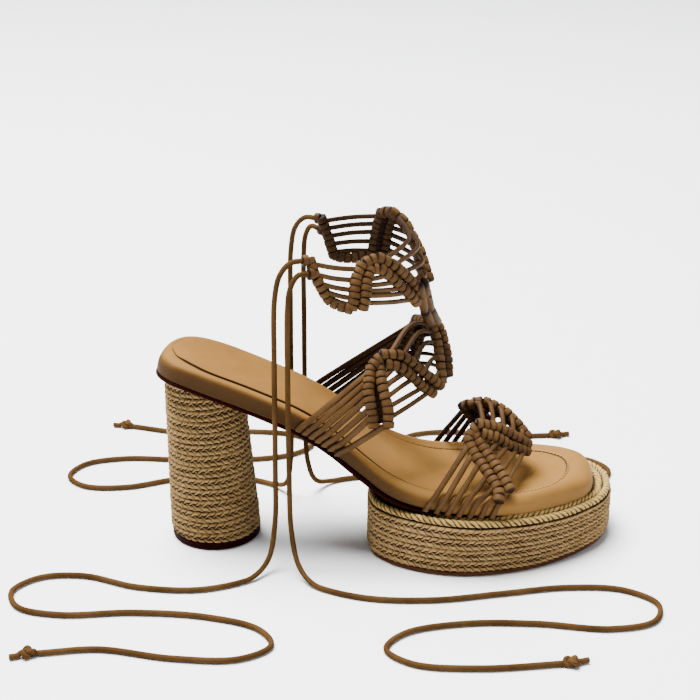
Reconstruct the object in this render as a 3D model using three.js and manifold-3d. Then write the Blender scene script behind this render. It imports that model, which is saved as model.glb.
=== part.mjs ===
// Platform heeled sandal, right foot, in millimetres.
// +X runs to the toe, +Y to the inner side of the foot, +Z up.
// The origin is the centre of the heel's base, on the floor.
import * as THREE from "three";
import { mergeVertices } from "three/addons/utils/BufferGeometryUtils.js";
import Module from "manifold-3d";

const wasm = await Module();
wasm.setup();

// Driving dimensions
const GAP = 0.3; // between pieces that meet
const HEEL_BASE_RADIUS = 24.4;
const HEEL_TOP_RADIUS = 20.8;
const HEEL_TOP_HEIGHT = 84; // where the top radius is measured
const HEEL_TOP_SETBACK = 4; // the column's axis leans back by this much at its top
const LIFT_THICKNESS = 4.6;
const LIFT_INSET = 0.4; // it stands this far inside the column's line
const SOLE_BEVEL = 0.7; // lower edge of the lift and of the platform's sole
const BRAID_PITCH = 6.4; // height of one course of braid
const BRAID_RELIEF = 0.55;
const PLATFORM_WALL_TOP = 28.9; // at the rear
const TOP_FALL = 3.6; // the platform's top is this much lower at the toe
const TOP_FALL_START = 110;
const TOP_FALL_END = 186;
const RAISED_TOP_HEIGHT = 4.2; // over the wall, inside the ropes
const PLATFORM_SOLE_THICKNESS = 2.4;
const PLATFORM_SOLE_INSET = 0.8;
const TOE_SPRING = 2.6;
const TOE_SPRING_START = 165;
const ROPE_RADIUS = 1.85;
const OUTER_ROPE_INSET = 2;
const INNER_ROPE_INSET = 6;
const RAISED_TOP_INSET = 9.6;
const PLATFORM_POINTS = 18; // along each side of its outline
const SOLE_FLANGE = 0.9; // the arch sole stands this far out of the footbed
const SOLE_END = 122;
const FOOTBED_GAP = 0.45; // under the footbed, where the straps' cords go in
const SOCK_RISE_HEEL = 0.6; // the sock stands proud of the rim at the heel
const SOCK_DROP_BALL = 2.4; // and is sunk inside it at the ball
const CORD_RADIUS = 1.5; // from the middle of a strap's flat cord to its corners
const CORD_SIDES = 4;
const KNOT_RADIUS = 2.55; // half the width of one line of knots
const KNOT_LINE_SPACING = 6.2; // between the two lines of a pair
const GROOVE = 1.8; // half thickness between them
const CORDS = 7; // cords side by side in each strap
const TIE_RADIUS = 1.5;
const TIE_KNOT_RADIUS = 3.1;
const TIE_KNOT_LENGTH = 7;
const TIE_TAIL = 6; // cord left past the end knot

// Heights along the foot: the sole's underside, the arch sole's thickness
// and the crest of the footbed's rim
const HEIGHTS = [
  { x: -31, underside: 97.4, thick: 2.6, crest: 110.4 },
  { x: -14, underside: 94.2, thick: 2.6, crest: 107.2 },
  { x: 1, underside: 89.4, thick: 2.6, crest: 102.4 },
  { x: 16, underside: 83.8, thick: 2.6, crest: 96.8 },
  { x: 31, underside: 77.6, thick: 2.7, crest: 90.6 },
  { x: 46, underside: 70.8, thick: 2.8, crest: 84 },
  { x: 55, underside: 65.7, thick: 3.1, crest: 79 },
  { x: 65, underside: 59.1, thick: 3.5, crest: 72.7 },
  { x: 74, underside: 52.2, thick: 3.9, crest: 66.1 },
  { x: 84, underside: 44.8, thick: 3.7, crest: 58.4 },
  { x: 94, underside: 38.8, thick: 2.5, crest: 51.7 },
  { x: 106, underside: 35, thick: 1.5, crest: 46.5 },
  { x: 120, underside: 33.2, thick: 0.7, crest: 43.2 },
  { x: 140, underside: 32, thick: 0, crest: 42.1 },
  { x: 163, underside: 30.9, thick: 0, crest: 42 },
  { x: 186, underside: 29.8, thick: 0, crest: 42 },
  { x: 216, underside: 29.8, thick: 0, crest: 42 },
];

// Footbed's edge and the edge of the sock set into it: outer and inner side of the foot
const FOOTBED = [
  { x: -27, outer: -10.6, inner: -1 },
  { x: -25.4, outer: -15.2, inner: 9 },
  { x: -22.4, outer: -19.2, inner: 15.6 },
  { x: -17.6, outer: -22.9, inner: 20.8 },
  { x: -10, outer: -25.4, inner: 24.6 },
  { x: 2, outer: -26.8, inner: 26.8 },
  { x: 24, outer: -27, inner: 27 },
  { x: 46, outer: -27, inner: 27 },
  { x: 64, outer: -28.5, inner: 27.5 },
  { x: 80, outer: -32, inner: 28.5 },
  { x: 97, outer: -36.5, inner: 31 },
  { x: 116, outer: -40, inner: 34 },
  { x: 135, outer: -41.5, inner: 37 },
  { x: 150, outer: -40, inner: 37.8 },
  { x: 166, outer: -35, inner: 37 },
  { x: 181, outer: -26.2, inner: 35.4 },
  { x: 192.6, outer: -18.2, inner: 32.4 },
  { x: 200.4, outer: -10.8, inner: 27 },
  { x: 203.7, outer: -4, inner: 18.5 },
];
const SOCK = [
  { x: -19.6, outer: -4, inner: 3 },
  { x: -18, outer: -8.6, inner: 8 },
  { x: -15.8, outer: -13, inner: 12.6 },
  { x: -12, outer: -16, inner: 16 },
  { x: -6, outer: -19.2, inner: 19.2 },
  { x: 3, outer: -22, inner: 22 },
  { x: 25, outer: -22, inner: 22 },
  { x: 46, outer: -22, inner: 21.5 },
  { x: 63, outer: -22.5, inner: 21 },
  { x: 78, outer: -24, inner: 20.5 },
  { x: 94, outer: -27, inner: 21 },
  { x: 112, outer: -29.5, inner: 22.5 },
  { x: 131, outer: -31, inner: 24 },
  { x: 146, outer: -30.5, inner: 25 },
  { x: 160, outer: -28, inner: 25.4 },
  { x: 173, outer: -22.8, inner: 25 },
  { x: 182, outer: -15.8, inner: 22.8 },
  { x: 187.8, outer: -6.8, inner: 18.4 },
  { x: 190.8, outer: 3, inner: 11.6 },
];
const PLATFORM = [
  { x: 84, outer: -11, inner: 7 },
  { x: 85, outer: -19, inner: 15.5 },
  { x: 88.2, outer: -26.4, inner: 23 },
  { x: 96, outer: -34.2, inner: 30.4 },
  { x: 106, outer: -40, inner: 36.4 },
  { x: 118, outer: -44, inner: 40.6 },
  { x: 132, outer: -45.7, inner: 43.6 },
  { x: 146, outer: -44.5, inner: 45 },
  { x: 160, outer: -40.7, inner: 45.6 },
  { x: 175, outer: -34.3, inner: 45.6 },
  { x: 190, outer: -25, inner: 44.6 },
  { x: 201, outer: -15.6, inner: 42.4 },
  { x: 208.5, outer: -7.2, inner: 38 },
  { x: 213.2, outer: 1.6, inner: 31 },
  { x: 215.6, outer: 10.5, inner: 22 },
];

// Rim of the footbed, from its underside up and over to the sock.
// share: 0 at the footbed's edge, 1 at the sock's edge; from and up: where the height is taken from.
const RIM_SECTION = [
  { share: 0.15, from: "bottom", up: 0 },
  { share: 0, from: "bottom", up: 1.4 },
  { share: 0, from: "crest", up: -4.8 },
  { share: 0.14, from: "crest", up: -2.1 },
  { share: 0.36, from: "crest", up: -0.5 },
  { share: 0.62, from: "crest", up: 0 },
  { share: 1, from: "sock", up: 0 },
];

// Lines of knots in the knotted straps, each from its rear or top end to its front or lower end.
// The cords cross every line in turn, from the outer side of the foot to the inner side.
const TOE_LINES = [
  { line: "outer side", start: [138.7, -13.5, 66.5], middle: [147, -23.5, 54.6], end: [155, -33, 46.2] },
  { line: "outer crown", start: [142.5, -12.5, 70.8], middle: [155.6, -9, 65], end: [168.3, -3.5, 56] },
  { line: "inner crown", start: [141, 13.5, 74.5], middle: [154.5, 11.5, 71], end: [168.6, 3.5, 59] },
  { line: "inner side", start: [137.5, 16.5, 71.5], middle: [145, 26, 58], end: [153, 31.5, 47] },
];
const INSTEP_LINES = [
  { line: "outer side", start: [88, -19.5, 106], middle: [88.1, -29.5, 95], end: [91.7, -35, 80.7] },
  { line: "outer crown", start: [93, -17, 110.5], middle: [106, -10.5, 102], end: [119.5, -2, 87.8] },
  { line: "inner crown", start: [116, 17, 119.8], middle: [121.3, 11, 106.5], end: [122.5, 4, 90] },
  { line: "inner side", start: [111, 23, 118], middle: [106, 31.5, 101], end: [103.5, 35, 84] },
];
const ANKLE_LINES = [
  {
    line: "outer back",
    single: true,
    start: [55.2, -30, 166.3],
    middle: [60, -32, 155],
    end: [66, -31, 145.5],
  },
  { line: "outer side", start: [82.5, -25.5, 162], middle: [80.4, -30.5, 154], end: [79.4, -33.5, 144] },
  { line: "outer crown", start: [90, -21, 162.5], middle: [99.6, -13.5, 152.5], end: [109.8, -3.5, 138] },
  { line: "inner crown", start: [96, 24, 176], middle: [108, 15, 159], end: [113, 3.5, 139] },
  { line: "inner side", start: [91.5, 28.5, 174.5], middle: [89, 34, 163], end: [87, 35.5, 150] },
  { line: "inner back", single: true, start: [57, 31, 170], middle: [60, 33, 160], end: [63, 33, 150] },
];
// Cords that carry the ankle cuff on the instep strap
const LINK_CORDS = [
  { top: [111.5, -1, 138], bend: [112.5, 6, 129], foot: [115.8, 15, 120] },
  { top: [113, 3, 139], bend: [115, 11, 130], foot: [118, 18, 120.5] },
];
// Where the straps' cords come out under the footbed's edge, along the foot
const SEAT_RISE = 1.3; // over the footbed's underside
const SEAT_TURN = 1.8; // under the crest of its rim
const SEAT_CLEAR = 0.4; // beside its edge
const TOE_SEATS = { outer: [116, 149], inner: [118, 148], lean: 3 };
const INSTEP_SEATS = { outer: [48.4, 68.4], inner: [50, 70], lean: 5 };

// Routes of the four ties: out of the cuff's back, down beside the footbed, and loose along the floor
const FLOOR_CLEAR = 0.05;
const FLOOR = TIE_RADIUS + FLOOR_CLEAR;
const TIES = [
  {
    name: "tie_outer_rear",
    route: [
      [52.7, -31.2, 166.5], [46, -34, 166], [41, -36.6, 160.5], [38.4, -38, 149],
      [37.2, -38.8, 60], [36.4, -40, 24], [33, -46, 7], [24, -57, FLOOR], [0, -68, FLOOR],
      [-32, -67, FLOOR], [-62, -57, FLOOR], [-84, -60, FLOOR], [-95, -74, FLOOR], [-88, -90, FLOOR],
      [-66, -96, FLOOR], [-30, -92, FLOOR], [6, -94, FLOOR], [34, -104, FLOOR], [42, -119, FLOOR],
      [28, -131, FLOOR], [-4, -132, FLOOR], [-40, -126, FLOOR], [-68, -131, FLOOR],
    ],
  },
  {
    name: "tie_outer_front",
    route: [
      [55.6, -33.5, 160.4], [50, -37.5, 160.8], [46.4, -40.4, 155], [45, -41.6, 144],
      [44.6, -42.4, 58], [45.6, -44, 22], [50, -51, 6.5], [60, -62, FLOOR], [86, -72, FLOOR],
      [120, -72, FLOOR], [154, -64, FLOOR], [188, -56, FLOOR], [216, -57, FLOOR], [232, -70, FLOOR],
      [228, -87, FLOOR], [206, -95, FLOOR], [170, -92, FLOOR], [134, -94, FLOOR], [106, -104, FLOOR],
      [97, -119, FLOOR], [110, -131, FLOOR], [142, -133, FLOOR], [180, -127, FLOOR],
    ],
  },
  {
    name: "tie_inner_rear",
    route: [
      [54.5, 31.8, 170.2], [47.6, 34.6, 169.8], [42.4, 36.8, 164], [39.8, 38, 152],
      [38.6, 38.8, 60], [37.6, 40, 24], [34, 46, 7], [24, 56, FLOOR], [-2, 64, FLOOR],
      [-32, 59, FLOOR], [-60, 47, FLOOR], [-84, 47, FLOOR], [-96, 60, FLOOR], [-90, 77, FLOOR],
      [-68, 86, FLOOR], [-32, 86, FLOOR], [4, 88, FLOOR], [34, 98, FLOOR], [44, 113, FLOOR],
      [32, 126, FLOOR], [0, 130, FLOOR], [-38, 126, FLOOR], [-72, 134, FLOOR],
    ],
  },
  {
    name: "tie_inner_front",
    route: [
      [56.3, 33.9, 163.4], [50.6, 38.4, 164], [47.4, 41.2, 158], [46.2, 42.2, 146],
      [46, 43, 58], [47, 44.6, 22], [51.4, 51.6, 6.5], [61, 62, FLOOR], [88, 70, FLOOR],
      [122, 69, FLOOR], [156, 62, FLOOR], [188, 60, FLOOR], [214, 67, FLOOR], [224, 83, FLOOR],
      [214, 98, FLOOR], [186, 102, FLOOR], [150, 96, FLOOR], [118, 99, FLOOR], [98, 112, FLOOR],
      [104, 128, FLOOR], [128, 136, FLOOR], [162, 131, FLOOR], [192, 134, FLOOR],
    ],
  },
];

const FINISH = {
  tanLeather: { color: "#a9804f", roughness: 0.5, metalness: 0 },
  cordLeather: { color: "#7d5a34", roughness: 0.55, metalness: 0 },
  darkLeather: { color: "#2d1512", roughness: 0.5, metalness: 0 },
  soleLeather: { color: "#7a5436", roughness: 0.6, metalness: 0 },
  jute: { color: "#a88a5c", roughness: 0.9, metalness: 0 },
};

// Geometry helpers

const vector = (p) => new THREE.Vector3(...p);
const mix = THREE.MathUtils.lerp;

// Smooth curve through one column of a table, read by x
function profile(table, column) {
  const curve = new THREE.CatmullRomCurve3(table.map((row) => new THREE.Vector3(row.x, 0, row[column])));
  const points = curve.getPoints(table.length * 8);
  return (x) => {
    let i = points.findIndex((p) => p.x >= x);
    if (i < 0) return points.at(-1).z;
    i = Math.max(i, 1);
    const share = (x - points[i - 1].x) / (points[i].x - points[i - 1].x);
    return mix(points[i - 1].z, points[i].z, share);
  };
}

// Ring in plan: along the outer side from heel to toe, then back along the inner side
function outline(table, perSide, until = 1) {
  const points = (key) => table.map((row) => new THREE.Vector3(row.x, row[key], 0));
  const side = (key) => new THREE.CatmullRomCurve3(points(key));
  const along = Array.from({ length: perSide }, (_, i) => (until * i) / (perSide - 1));
  const outer = along.map((u) => side("outer").getPoint(u));
  const inner = along.map((u) => side("inner").getPoint(u));
  return [...outer, ...inner.reverse()];
}

// The ring moved outwards in plan by a distance
function grow(ring, distance) {
  return ring.map((p, i) => {
    const before = ring[(i + ring.length - 1) % ring.length];
    const after = ring[(i + 1) % ring.length];
    const tangent = after.clone().sub(before).setZ(0).normalize();
    return new THREE.Vector3(p.x + tangent.y * distance, p.y - tangent.x * distance, p.z);
  });
}

const lift = (ring, height) => ring.map((p) => new THREE.Vector3(p.x, p.y, height(p.x)));

// Side of the footbed at a place along the foot
function edgeAt(table, key, x) {
  const i = Math.max(1, table.findIndex((row) => row.x >= x));
  const share = (x - table[i - 1].x) / (table[i].x - table[i - 1].x);
  return mix(table[i - 1][key], table[i][key], share);
}

// Closed body through rings of equal count; the end rings are filled, or joined where the body is a loop
function skin(rings, loop = false) {
  const count = rings[0].length;
  const positions = rings.flat().flatMap((p) => [p.x, p.y, p.z]);
  const index = [];
  const spans = loop ? rings.length : rings.length - 1;
  for (let r = 0; r < spans; r++) {
    const low = r * count;
    const high = ((r + 1) % rings.length) * count;
    for (let i = 0; i < count; i++) {
      const next = (i + 1) % count;
      index.push(low + i, low + next, high + next, low + i, high + next, high + i);
    }
  }
  if (!loop) {
    const last = (rings.length - 1) * count;
    for (let low = 0, high = count - 1; low + 1 < high; ) {
      index.push(high, low + 1, low, last + low, last + low + 1, last + high);
      low++;
      if (low + 1 < high) {
        index.push(high, high - 1, low, last + low, last + high - 1, last + high);
        high--;
      }
    }
  }
  const geometry = new THREE.BufferGeometry();
  geometry.setAttribute("position", new THREE.Float32BufferAttribute(positions, 3));
  geometry.setIndex(index);
  return facingOut(geometry);
}

// Turns the faces round where they point inwards
function facingOut(geometry) {
  const at = geometry.getAttribute("position");
  const index = geometry.getIndex().array;
  const corner = (i) => new THREE.Vector3().fromBufferAttribute(at, index[i]);
  let volume = 0;
  for (let i = 0; i < index.length; i += 3) volume += corner(i).dot(corner(i + 1).cross(corner(i + 2)));
  if (volume > 0) return geometry;
  for (let i = 0; i < index.length; i += 3) [index[i], index[i + 1]] = [index[i + 1], index[i]];
  return geometry;
}

// Tube through points, with a flat end at each end
function tube(points, radius, sides, loop = false) {
  const count = points.length;
  const tangents = points.map((p, i) => {
    const before = points[loop ? (i + count - 1) % count : Math.max(0, i - 1)];
    const after = points[loop ? (i + 1) % count : Math.min(count - 1, i + 1)];
    return after.clone().sub(before).normalize();
  });
  let normal = new THREE.Vector3(0, 0, 1);
  if (Math.abs(tangents[0].z) > 0.9) normal = new THREE.Vector3(0, 1, 0);
  const rings = points.map((p, i) => {
    normal = normal.clone().addScaledVector(tangents[i], -normal.dot(tangents[i])).normalize();
    const side = tangents[i].clone().cross(normal);
    return Array.from({ length: sides }, (_, k) => {
      const angle = (2 * Math.PI * k) / sides;
      const up = radius * Math.cos(angle);
      const out = radius * Math.sin(angle);
      return p.clone().addScaledVector(normal, up).addScaledVector(side, out);
    });
  });
  return skin(rings, loop);
}

function solid(geometry) {
  const bare = geometry.clone();
  bare.deleteAttribute("normal");
  bare.deleteAttribute("uv");
  const merged = mergeVertices(bare, 1e-4);
  return new wasm.Manifold(
    new wasm.Mesh({
      numProp: 3,
      vertProperties: merged.getAttribute("position").array,
      triVerts: new Uint32Array(merged.getIndex().array),
    }),
  );
}

function geometryOf(body) {
  const mesh = body.getMesh();
  const geometry = new THREE.BufferGeometry();
  geometry.setAttribute("position", new THREE.Float32BufferAttribute(mesh.vertProperties, 3));
  geometry.setIndex(Array.from(mesh.triVerts));
  return geometry;
}

const joined = (geometries) => geometries.map(solid).reduce((all, one) => all.add(one));

// Heights along the foot

const soleUnderside = profile(HEIGHTS, "underside");
const soleThickness = profile(HEIGHTS, "thick");
const footbedCrest = profile(HEIGHTS, "crest");

function ballShare(x) {
  return THREE.MathUtils.smoothstep(x, 50, 120);
}

const footbedBottom = (x) => soleUnderside(x) + soleThickness(x) + FOOTBED_GAP;
const sockTop = (x) => footbedCrest(x) + mix(SOCK_RISE_HEEL, -SOCK_DROP_BALL, ballShare(x));

function wallTop(x) {
  const share = THREE.MathUtils.clamp((x - TOP_FALL_START) / (TOP_FALL_END - TOP_FALL_START), 0, 1);
  return PLATFORM_WALL_TOP - TOP_FALL * share;
}

function floorRise(x) {
  const share = Math.max(0, (x - TOE_SPRING_START) / (PLATFORM.at(-1).x - TOE_SPRING_START));
  return TOE_SPRING * share * share;
}

// Sole pieces

function heelRing(z, relief, sides) {
  const share = z / HEEL_TOP_HEIGHT;
  const radius = mix(HEEL_BASE_RADIUS, HEEL_TOP_RADIUS, share) + relief;
  const setback = HEEL_TOP_SETBACK * share;
  return Array.from({ length: sides }, (_, i) => {
    const angle = (2 * Math.PI * i) / sides;
    return new THREE.Vector3(radius * Math.cos(angle) - setback, radius * Math.sin(angle), z);
  });
}

function heelLift() {
  const sides = 32;
  return skin([
    heelRing(0, -LIFT_INSET - SOLE_BEVEL, sides),
    heelRing(SOLE_BEVEL, -LIFT_INSET, sides),
    heelRing(LIFT_THICKNESS, -LIFT_INSET, sides),
  ]);
}

// Heel column wound with braid, cut off along the sole's underside
function heelColumn() {
  const sides = 20;
  const bottom = LIFT_THICKNESS + GAP;
  const courses = 16;
  const rings = [heelRing(bottom, -BRAID_RELIEF, sides)];
  for (let course = 0; course < courses; course++) {
    const z = bottom + course * BRAID_PITCH;
    rings.push(heelRing(z + BRAID_PITCH / 2, 0, sides));
    rings.push(heelRing(z + BRAID_PITCH, -BRAID_RELIEF, sides));
  }
  const reach = 45;
  const cut = new THREE.Shape();
  for (let x = -reach; x <= reach; x += 9) {
    const z = soleUnderside(Math.max(x, HEIGHTS[0].x)) - GAP;
    if (x === -reach) cut.moveTo(x, z);
    else cut.lineTo(x, z);
  }
  cut.lineTo(reach, 2 * HEEL_TOP_HEIGHT);
  cut.lineTo(-reach, 2 * HEEL_TOP_HEIGHT);
  const above = new THREE.ExtrudeGeometry(cut, { depth: 2 * reach, bevelEnabled: false });
  above.translate(0, 0, -reach).rotateX(Math.PI / 2);
  return geometryOf(solid(skin(rings)).subtract(solid(above)));
}

function archSole() {
  let until = 0;
  while (outline(FOOTBED, 2, until)[1].x < SOLE_END) until += 0.002;
  const ring = grow(outline(FOOTBED, 24, until), SOLE_FLANGE);
  return skin([lift(ring, soleUnderside), lift(ring, (x) => soleUnderside(x) + soleThickness(x))]);
}

function platformBlock() {
  const ring = outline(PLATFORM, PLATFORM_POINTS);
  const bottom = PLATFORM_SOLE_THICKNESS + GAP;
  const courses = Math.round((PLATFORM_WALL_TOP - bottom) / BRAID_PITCH);
  // a height in the wall, squeezed towards the toe where the bottom rises and the top falls
  const level = (share) => (x) => mix(bottom + floorRise(x), wallTop(x), share);
  const rings = [lift(grow(ring, -BRAID_RELIEF), level(0))];
  for (let course = 0; course < courses; course++) {
    rings.push(lift(ring, level((course + 0.5) / courses)));
    rings.push(lift(grow(ring, -BRAID_RELIEF), level((course + 1) / courses)));
  }
  const raised = grow(ring, -RAISED_TOP_INSET);
  rings.push(lift(raised, wallTop));
  rings.push(lift(raised, (x) => wallTop(x) + RAISED_TOP_HEIGHT));
  return skin(rings);
}

function platformSole() {
  const ring = grow(outline(PLATFORM, PLATFORM_POINTS), -PLATFORM_SOLE_INSET);
  return skin([
    lift(grow(ring, -SOLE_BEVEL), floorRise),
    lift(ring, (x) => floorRise(x) + SOLE_BEVEL),
    lift(ring, (x) => floorRise(x) + PLATFORM_SOLE_THICKNESS),
  ]);
}

function rope(inset) {
  const ring = grow(outline(PLATFORM, PLATFORM_POINTS), -inset);
  return tube(lift(ring, (x) => wallTop(x) + GAP + ROPE_RADIUS), ROPE_RADIUS, 5, true);
}

// Padded footbed: a rolled rim round a sock set a little lower; clearance makes it larger all round
function footbed(clearance = 0) {
  const perSide = 25;
  const edge = grow(outline(FOOTBED, perSide), clearance);
  const sock = outline(SOCK, perSide);
  const heights = {
    bottom: (x) => footbedBottom(x) - clearance,
    crest: (x) => footbedCrest(x) + clearance,
    sock: (x) => sockTop(x) + clearance,
  };
  return skin(
    RIM_SECTION.map(({ share, from, up }) =>
      edge.map((p, i) => {
        const at = p.clone().lerp(sock[i], share);
        return at.setZ(heights[from](at.x) + up);
      }),
    ),
  );
}

// Knotted straps

// Point of a line of knots: t is 0 at its start and 1 at its end
function onLine({ start, middle, end }, t) {
  return new THREE.CatmullRomCurve3([vector(start), vector(middle), vector(end)]).getPoint(
    THREE.MathUtils.clamp(t, 0, 1),
  );
}

// Where a cord comes out under the footbed, and where it turns over the rim
function seat({ outer, inner, lean }, key, t) {
  const [from, to] = key === "outer" ? outer : inner;
  const side = key === "outer" ? -1 : 1;
  const x = mix(from, to, t);
  const turn = x + lean;
  const stand = side * (CORD_RADIUS + SEAT_CLEAR);
  return [
    new THREE.Vector3(x, edgeAt(FOOTBED, key, x) + stand, footbedBottom(x) + SEAT_RISE),
    new THREE.Vector3(turn, edgeAt(FOOTBED, key, turn) + stand, footbedCrest(turn) - SEAT_TURN),
  ];
}

function strapCords(lines, seats) {
  return Array.from({ length: CORDS }, (_, i) => {
    const t = i / (CORDS - 1);
    const crossings = lines.map((line) => onLine(line, t));
    const points = seats
      ? [...seat(seats, "outer", t), ...crossings, ...seat(seats, "inner", t).reverse()]
      : crossings;
    return tube(points, CORD_RADIUS, CORD_SIDES);
  });
}

// Two lines of knots side by side, or one, as one ridged band across the cords
function knotBand(lines, k) {
  const line = lines[k];
  const stations = 4;
  const half = line.single ? 0 : KNOT_LINE_SPACING / 2;
  const wide = half + KNOT_RADIUS;
  const ridge = line.single
    ? [[-wide / 2, KNOT_RADIUS], [wide / 2, KNOT_RADIUS]]
    : [[-half, KNOT_RADIUS], [0, GROOVE], [half, KNOT_RADIUS]];
  const under = ridge.map(([a, b]) => [-a, -b]);
  const section = [[-wide, 0], ...ridge, [wide, 0], ...under];
  const rings = Array.from({ length: stations }, (_, i) => {
    const t = i / (stations - 1);
    const at = onLine(line, t);
    const along = onLine(line, t + 0.05).sub(onLine(line, t - 0.05)).normalize();
    const before = onLine(lines[Math.max(0, k - 1)], t);
    const after = onLine(lines[Math.min(lines.length - 1, k + 1)], t);
    const across = after.sub(before);
    across.addScaledVector(along, -across.dot(along)).normalize();
    const out = along.clone().cross(across);
    return section.map(([a, b]) => at.clone().addScaledVector(across, a).addScaledVector(out, b));
  });
  return skin(rings);
}

const strapPieces = (lines, seats) => [
  ...strapCords(lines, seats),
  ...lines.map((_, k) => knotBand(lines, k)),
];

function toeStrap() {
  return geometryOf(joined(strapPieces(TOE_LINES, TOE_SEATS)).subtract(solid(footbed(GAP))));
}

// Instep strap with the ankle cuff carried on it
function ankleUpper() {
  const links = LINK_CORDS.map(({ top, bend, foot }) => {
    const curve = new THREE.CatmullRomCurve3([vector(top), vector(bend), vector(foot)]);
    return tube(curve.getPoints(4), CORD_RADIUS, CORD_SIDES);
  });
  const pieces = [...strapPieces(INSTEP_LINES, INSTEP_SEATS), ...links, ...strapPieces(ANKLE_LINES)];
  return geometryOf(joined(pieces).subtract(solid(footbed(GAP))));
}

// Ties

const tie = ({ route }) => tube(route.map(vector), TIE_RADIUS, 8);

// Stopper knot at a tie's end, with the cord's tail
function tieKnot({ route }) {
  const end = vector(route.at(-1));
  const away = end.clone().sub(vector(route.at(-2))).setZ(0).normalize();
  const start = end.clone().addScaledVector(away, GAP);
  const section = [
    { along: 0, radius: TIE_RADIUS },
    { along: 0.2 * TIE_KNOT_LENGTH, radius: TIE_KNOT_RADIUS },
    { along: 0.8 * TIE_KNOT_LENGTH, radius: TIE_KNOT_RADIUS },
    { along: TIE_KNOT_LENGTH, radius: TIE_RADIUS },
    { along: TIE_KNOT_LENGTH + TIE_TAIL, radius: TIE_RADIUS },
  ];
  const side = new THREE.Vector3(-away.y, away.x, 0);
  const sides = 8;
  return skin(
    section.map(({ along, radius }) => {
      const centre = start.clone().addScaledVector(away, along).setZ(radius + FLOOR_CLEAR);
      return Array.from({ length: sides }, (_, i) => {
        const angle = (2 * Math.PI * i) / sides;
        const at = centre.clone().addScaledVector(side, radius * Math.cos(angle));
        return at.setZ(centre.z + radius * Math.sin(angle));
      });
    }),
  );
}

// Assembly

const sandal = new THREE.Group();

function place(name, geometry, finish) {
  const mesh = new THREE.Mesh(geometry, new THREE.MeshStandardMaterial(FINISH[finish]));
  mesh.name = name;
  sandal.add(mesh);
}

place("heel_lift", heelLift(), "darkLeather");
place("heel_column", heelColumn(), "jute");
place("arch_sole", archSole(), "darkLeather");
place("platform_sole", platformSole(), "soleLeather");
place("platform_block", platformBlock(), "jute");
place("rope_outer", rope(OUTER_ROPE_INSET), "jute");
place("rope_inner", rope(INNER_ROPE_INSET), "jute");
place("footbed", footbed(), "tanLeather");
place("toe_strap", toeStrap(), "cordLeather");
place("ankle_upper", ankleUpper(), "cordLeather");
for (const row of TIES) {
  place(row.name, tie(row), "cordLeather");
  place(`${row.name}_knot`, tieKnot(row), "cordLeather");
}

export default sandal;
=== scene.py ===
import math
import random

import bmesh
import bpy
import numpy as np
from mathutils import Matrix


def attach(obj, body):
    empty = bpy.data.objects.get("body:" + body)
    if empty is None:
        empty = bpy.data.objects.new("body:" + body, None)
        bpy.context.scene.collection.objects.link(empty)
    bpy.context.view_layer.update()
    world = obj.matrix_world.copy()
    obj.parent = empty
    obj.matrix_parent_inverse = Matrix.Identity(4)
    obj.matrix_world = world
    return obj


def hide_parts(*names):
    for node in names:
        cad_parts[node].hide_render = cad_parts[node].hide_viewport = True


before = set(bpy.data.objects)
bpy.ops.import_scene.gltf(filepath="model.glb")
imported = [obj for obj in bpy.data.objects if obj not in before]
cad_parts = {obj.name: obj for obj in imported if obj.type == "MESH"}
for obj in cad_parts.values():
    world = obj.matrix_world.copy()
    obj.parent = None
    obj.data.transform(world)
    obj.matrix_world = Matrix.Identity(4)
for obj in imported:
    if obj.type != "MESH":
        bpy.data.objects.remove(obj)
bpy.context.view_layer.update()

mm = 0.001  # tables below are in millimetres, meshes in metres
print("frame loaded", sorted(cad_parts))


# camera, floor and light

view = {"place": (0.1121, -0.7344, 0.3902), "down": 21.0, "turn": 3.0, "lens": 77.14, "sensor": 36.0, "far": 50}
studio = {
    "floorSize": 60.0,
    "floorDrop": 0.0002,
    "floorColour": (0.88, 0.89, 0.9, 1),
    "floorRoughness": 0.55,
    "skyColour": (0.93, 0.96, 1.0, 1),
    "sky": 0.25,
    "lamps": {
        "top": {"place": (-0.7, 0.5, 3.2), "aim": (0.1, 0, 0.05), "size": 2.2, "power": 715},
        "left": {"place": (-2.4, 0.1, 1.2), "aim": (0.05, 0, 0.08), "size": 1.0, "power": 30},
        "right": {"place": (2.2, -1.1, 1.3), "aim": (0.14, 0, 0.05), "size": 1.0, "power": 16},
    },
}


def addObject(name, data):
    made = bpy.data.objects.new(name, data)
    bpy.context.collection.objects.link(made)
    return made


def blankMaterial(name):
    material = bpy.data.materials.new(name)
    material.use_nodes = True
    return material, material.node_tree, material.node_tree.nodes["Principled BSDF"]


def setInputs(made, **values):  # a space in an input's name is written as _
    for key, value in values.items():
        made.inputs[key.replace("_", " ")].default_value = value


def setCamera():
    data = bpy.data.cameras.new("camera")
    data.lens = view["lens"]
    data.sensor_width = view["sensor"]
    data.clip_end = view["far"]
    camera = addObject("camera", data)
    camera.location = view["place"]
    camera.rotation_euler = (math.radians(90 - view["down"]), 0, math.radians(view["turn"]))
    bpy.context.scene.camera = camera


def softLight(name, card):
    data = bpy.data.lights.new(name, "AREA")
    data.size = card["size"]
    data.energy = card["power"]
    lamp = addObject(name, data)
    lamp.location = card["place"]
    aim = np.array(card["aim"]) - np.array(card["place"])
    flat = math.hypot(aim[0], aim[1])
    lamp.rotation_euler = (math.atan2(flat, -aim[2]), 0, math.atan2(aim[1], aim[0]) - math.pi / 2)


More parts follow.
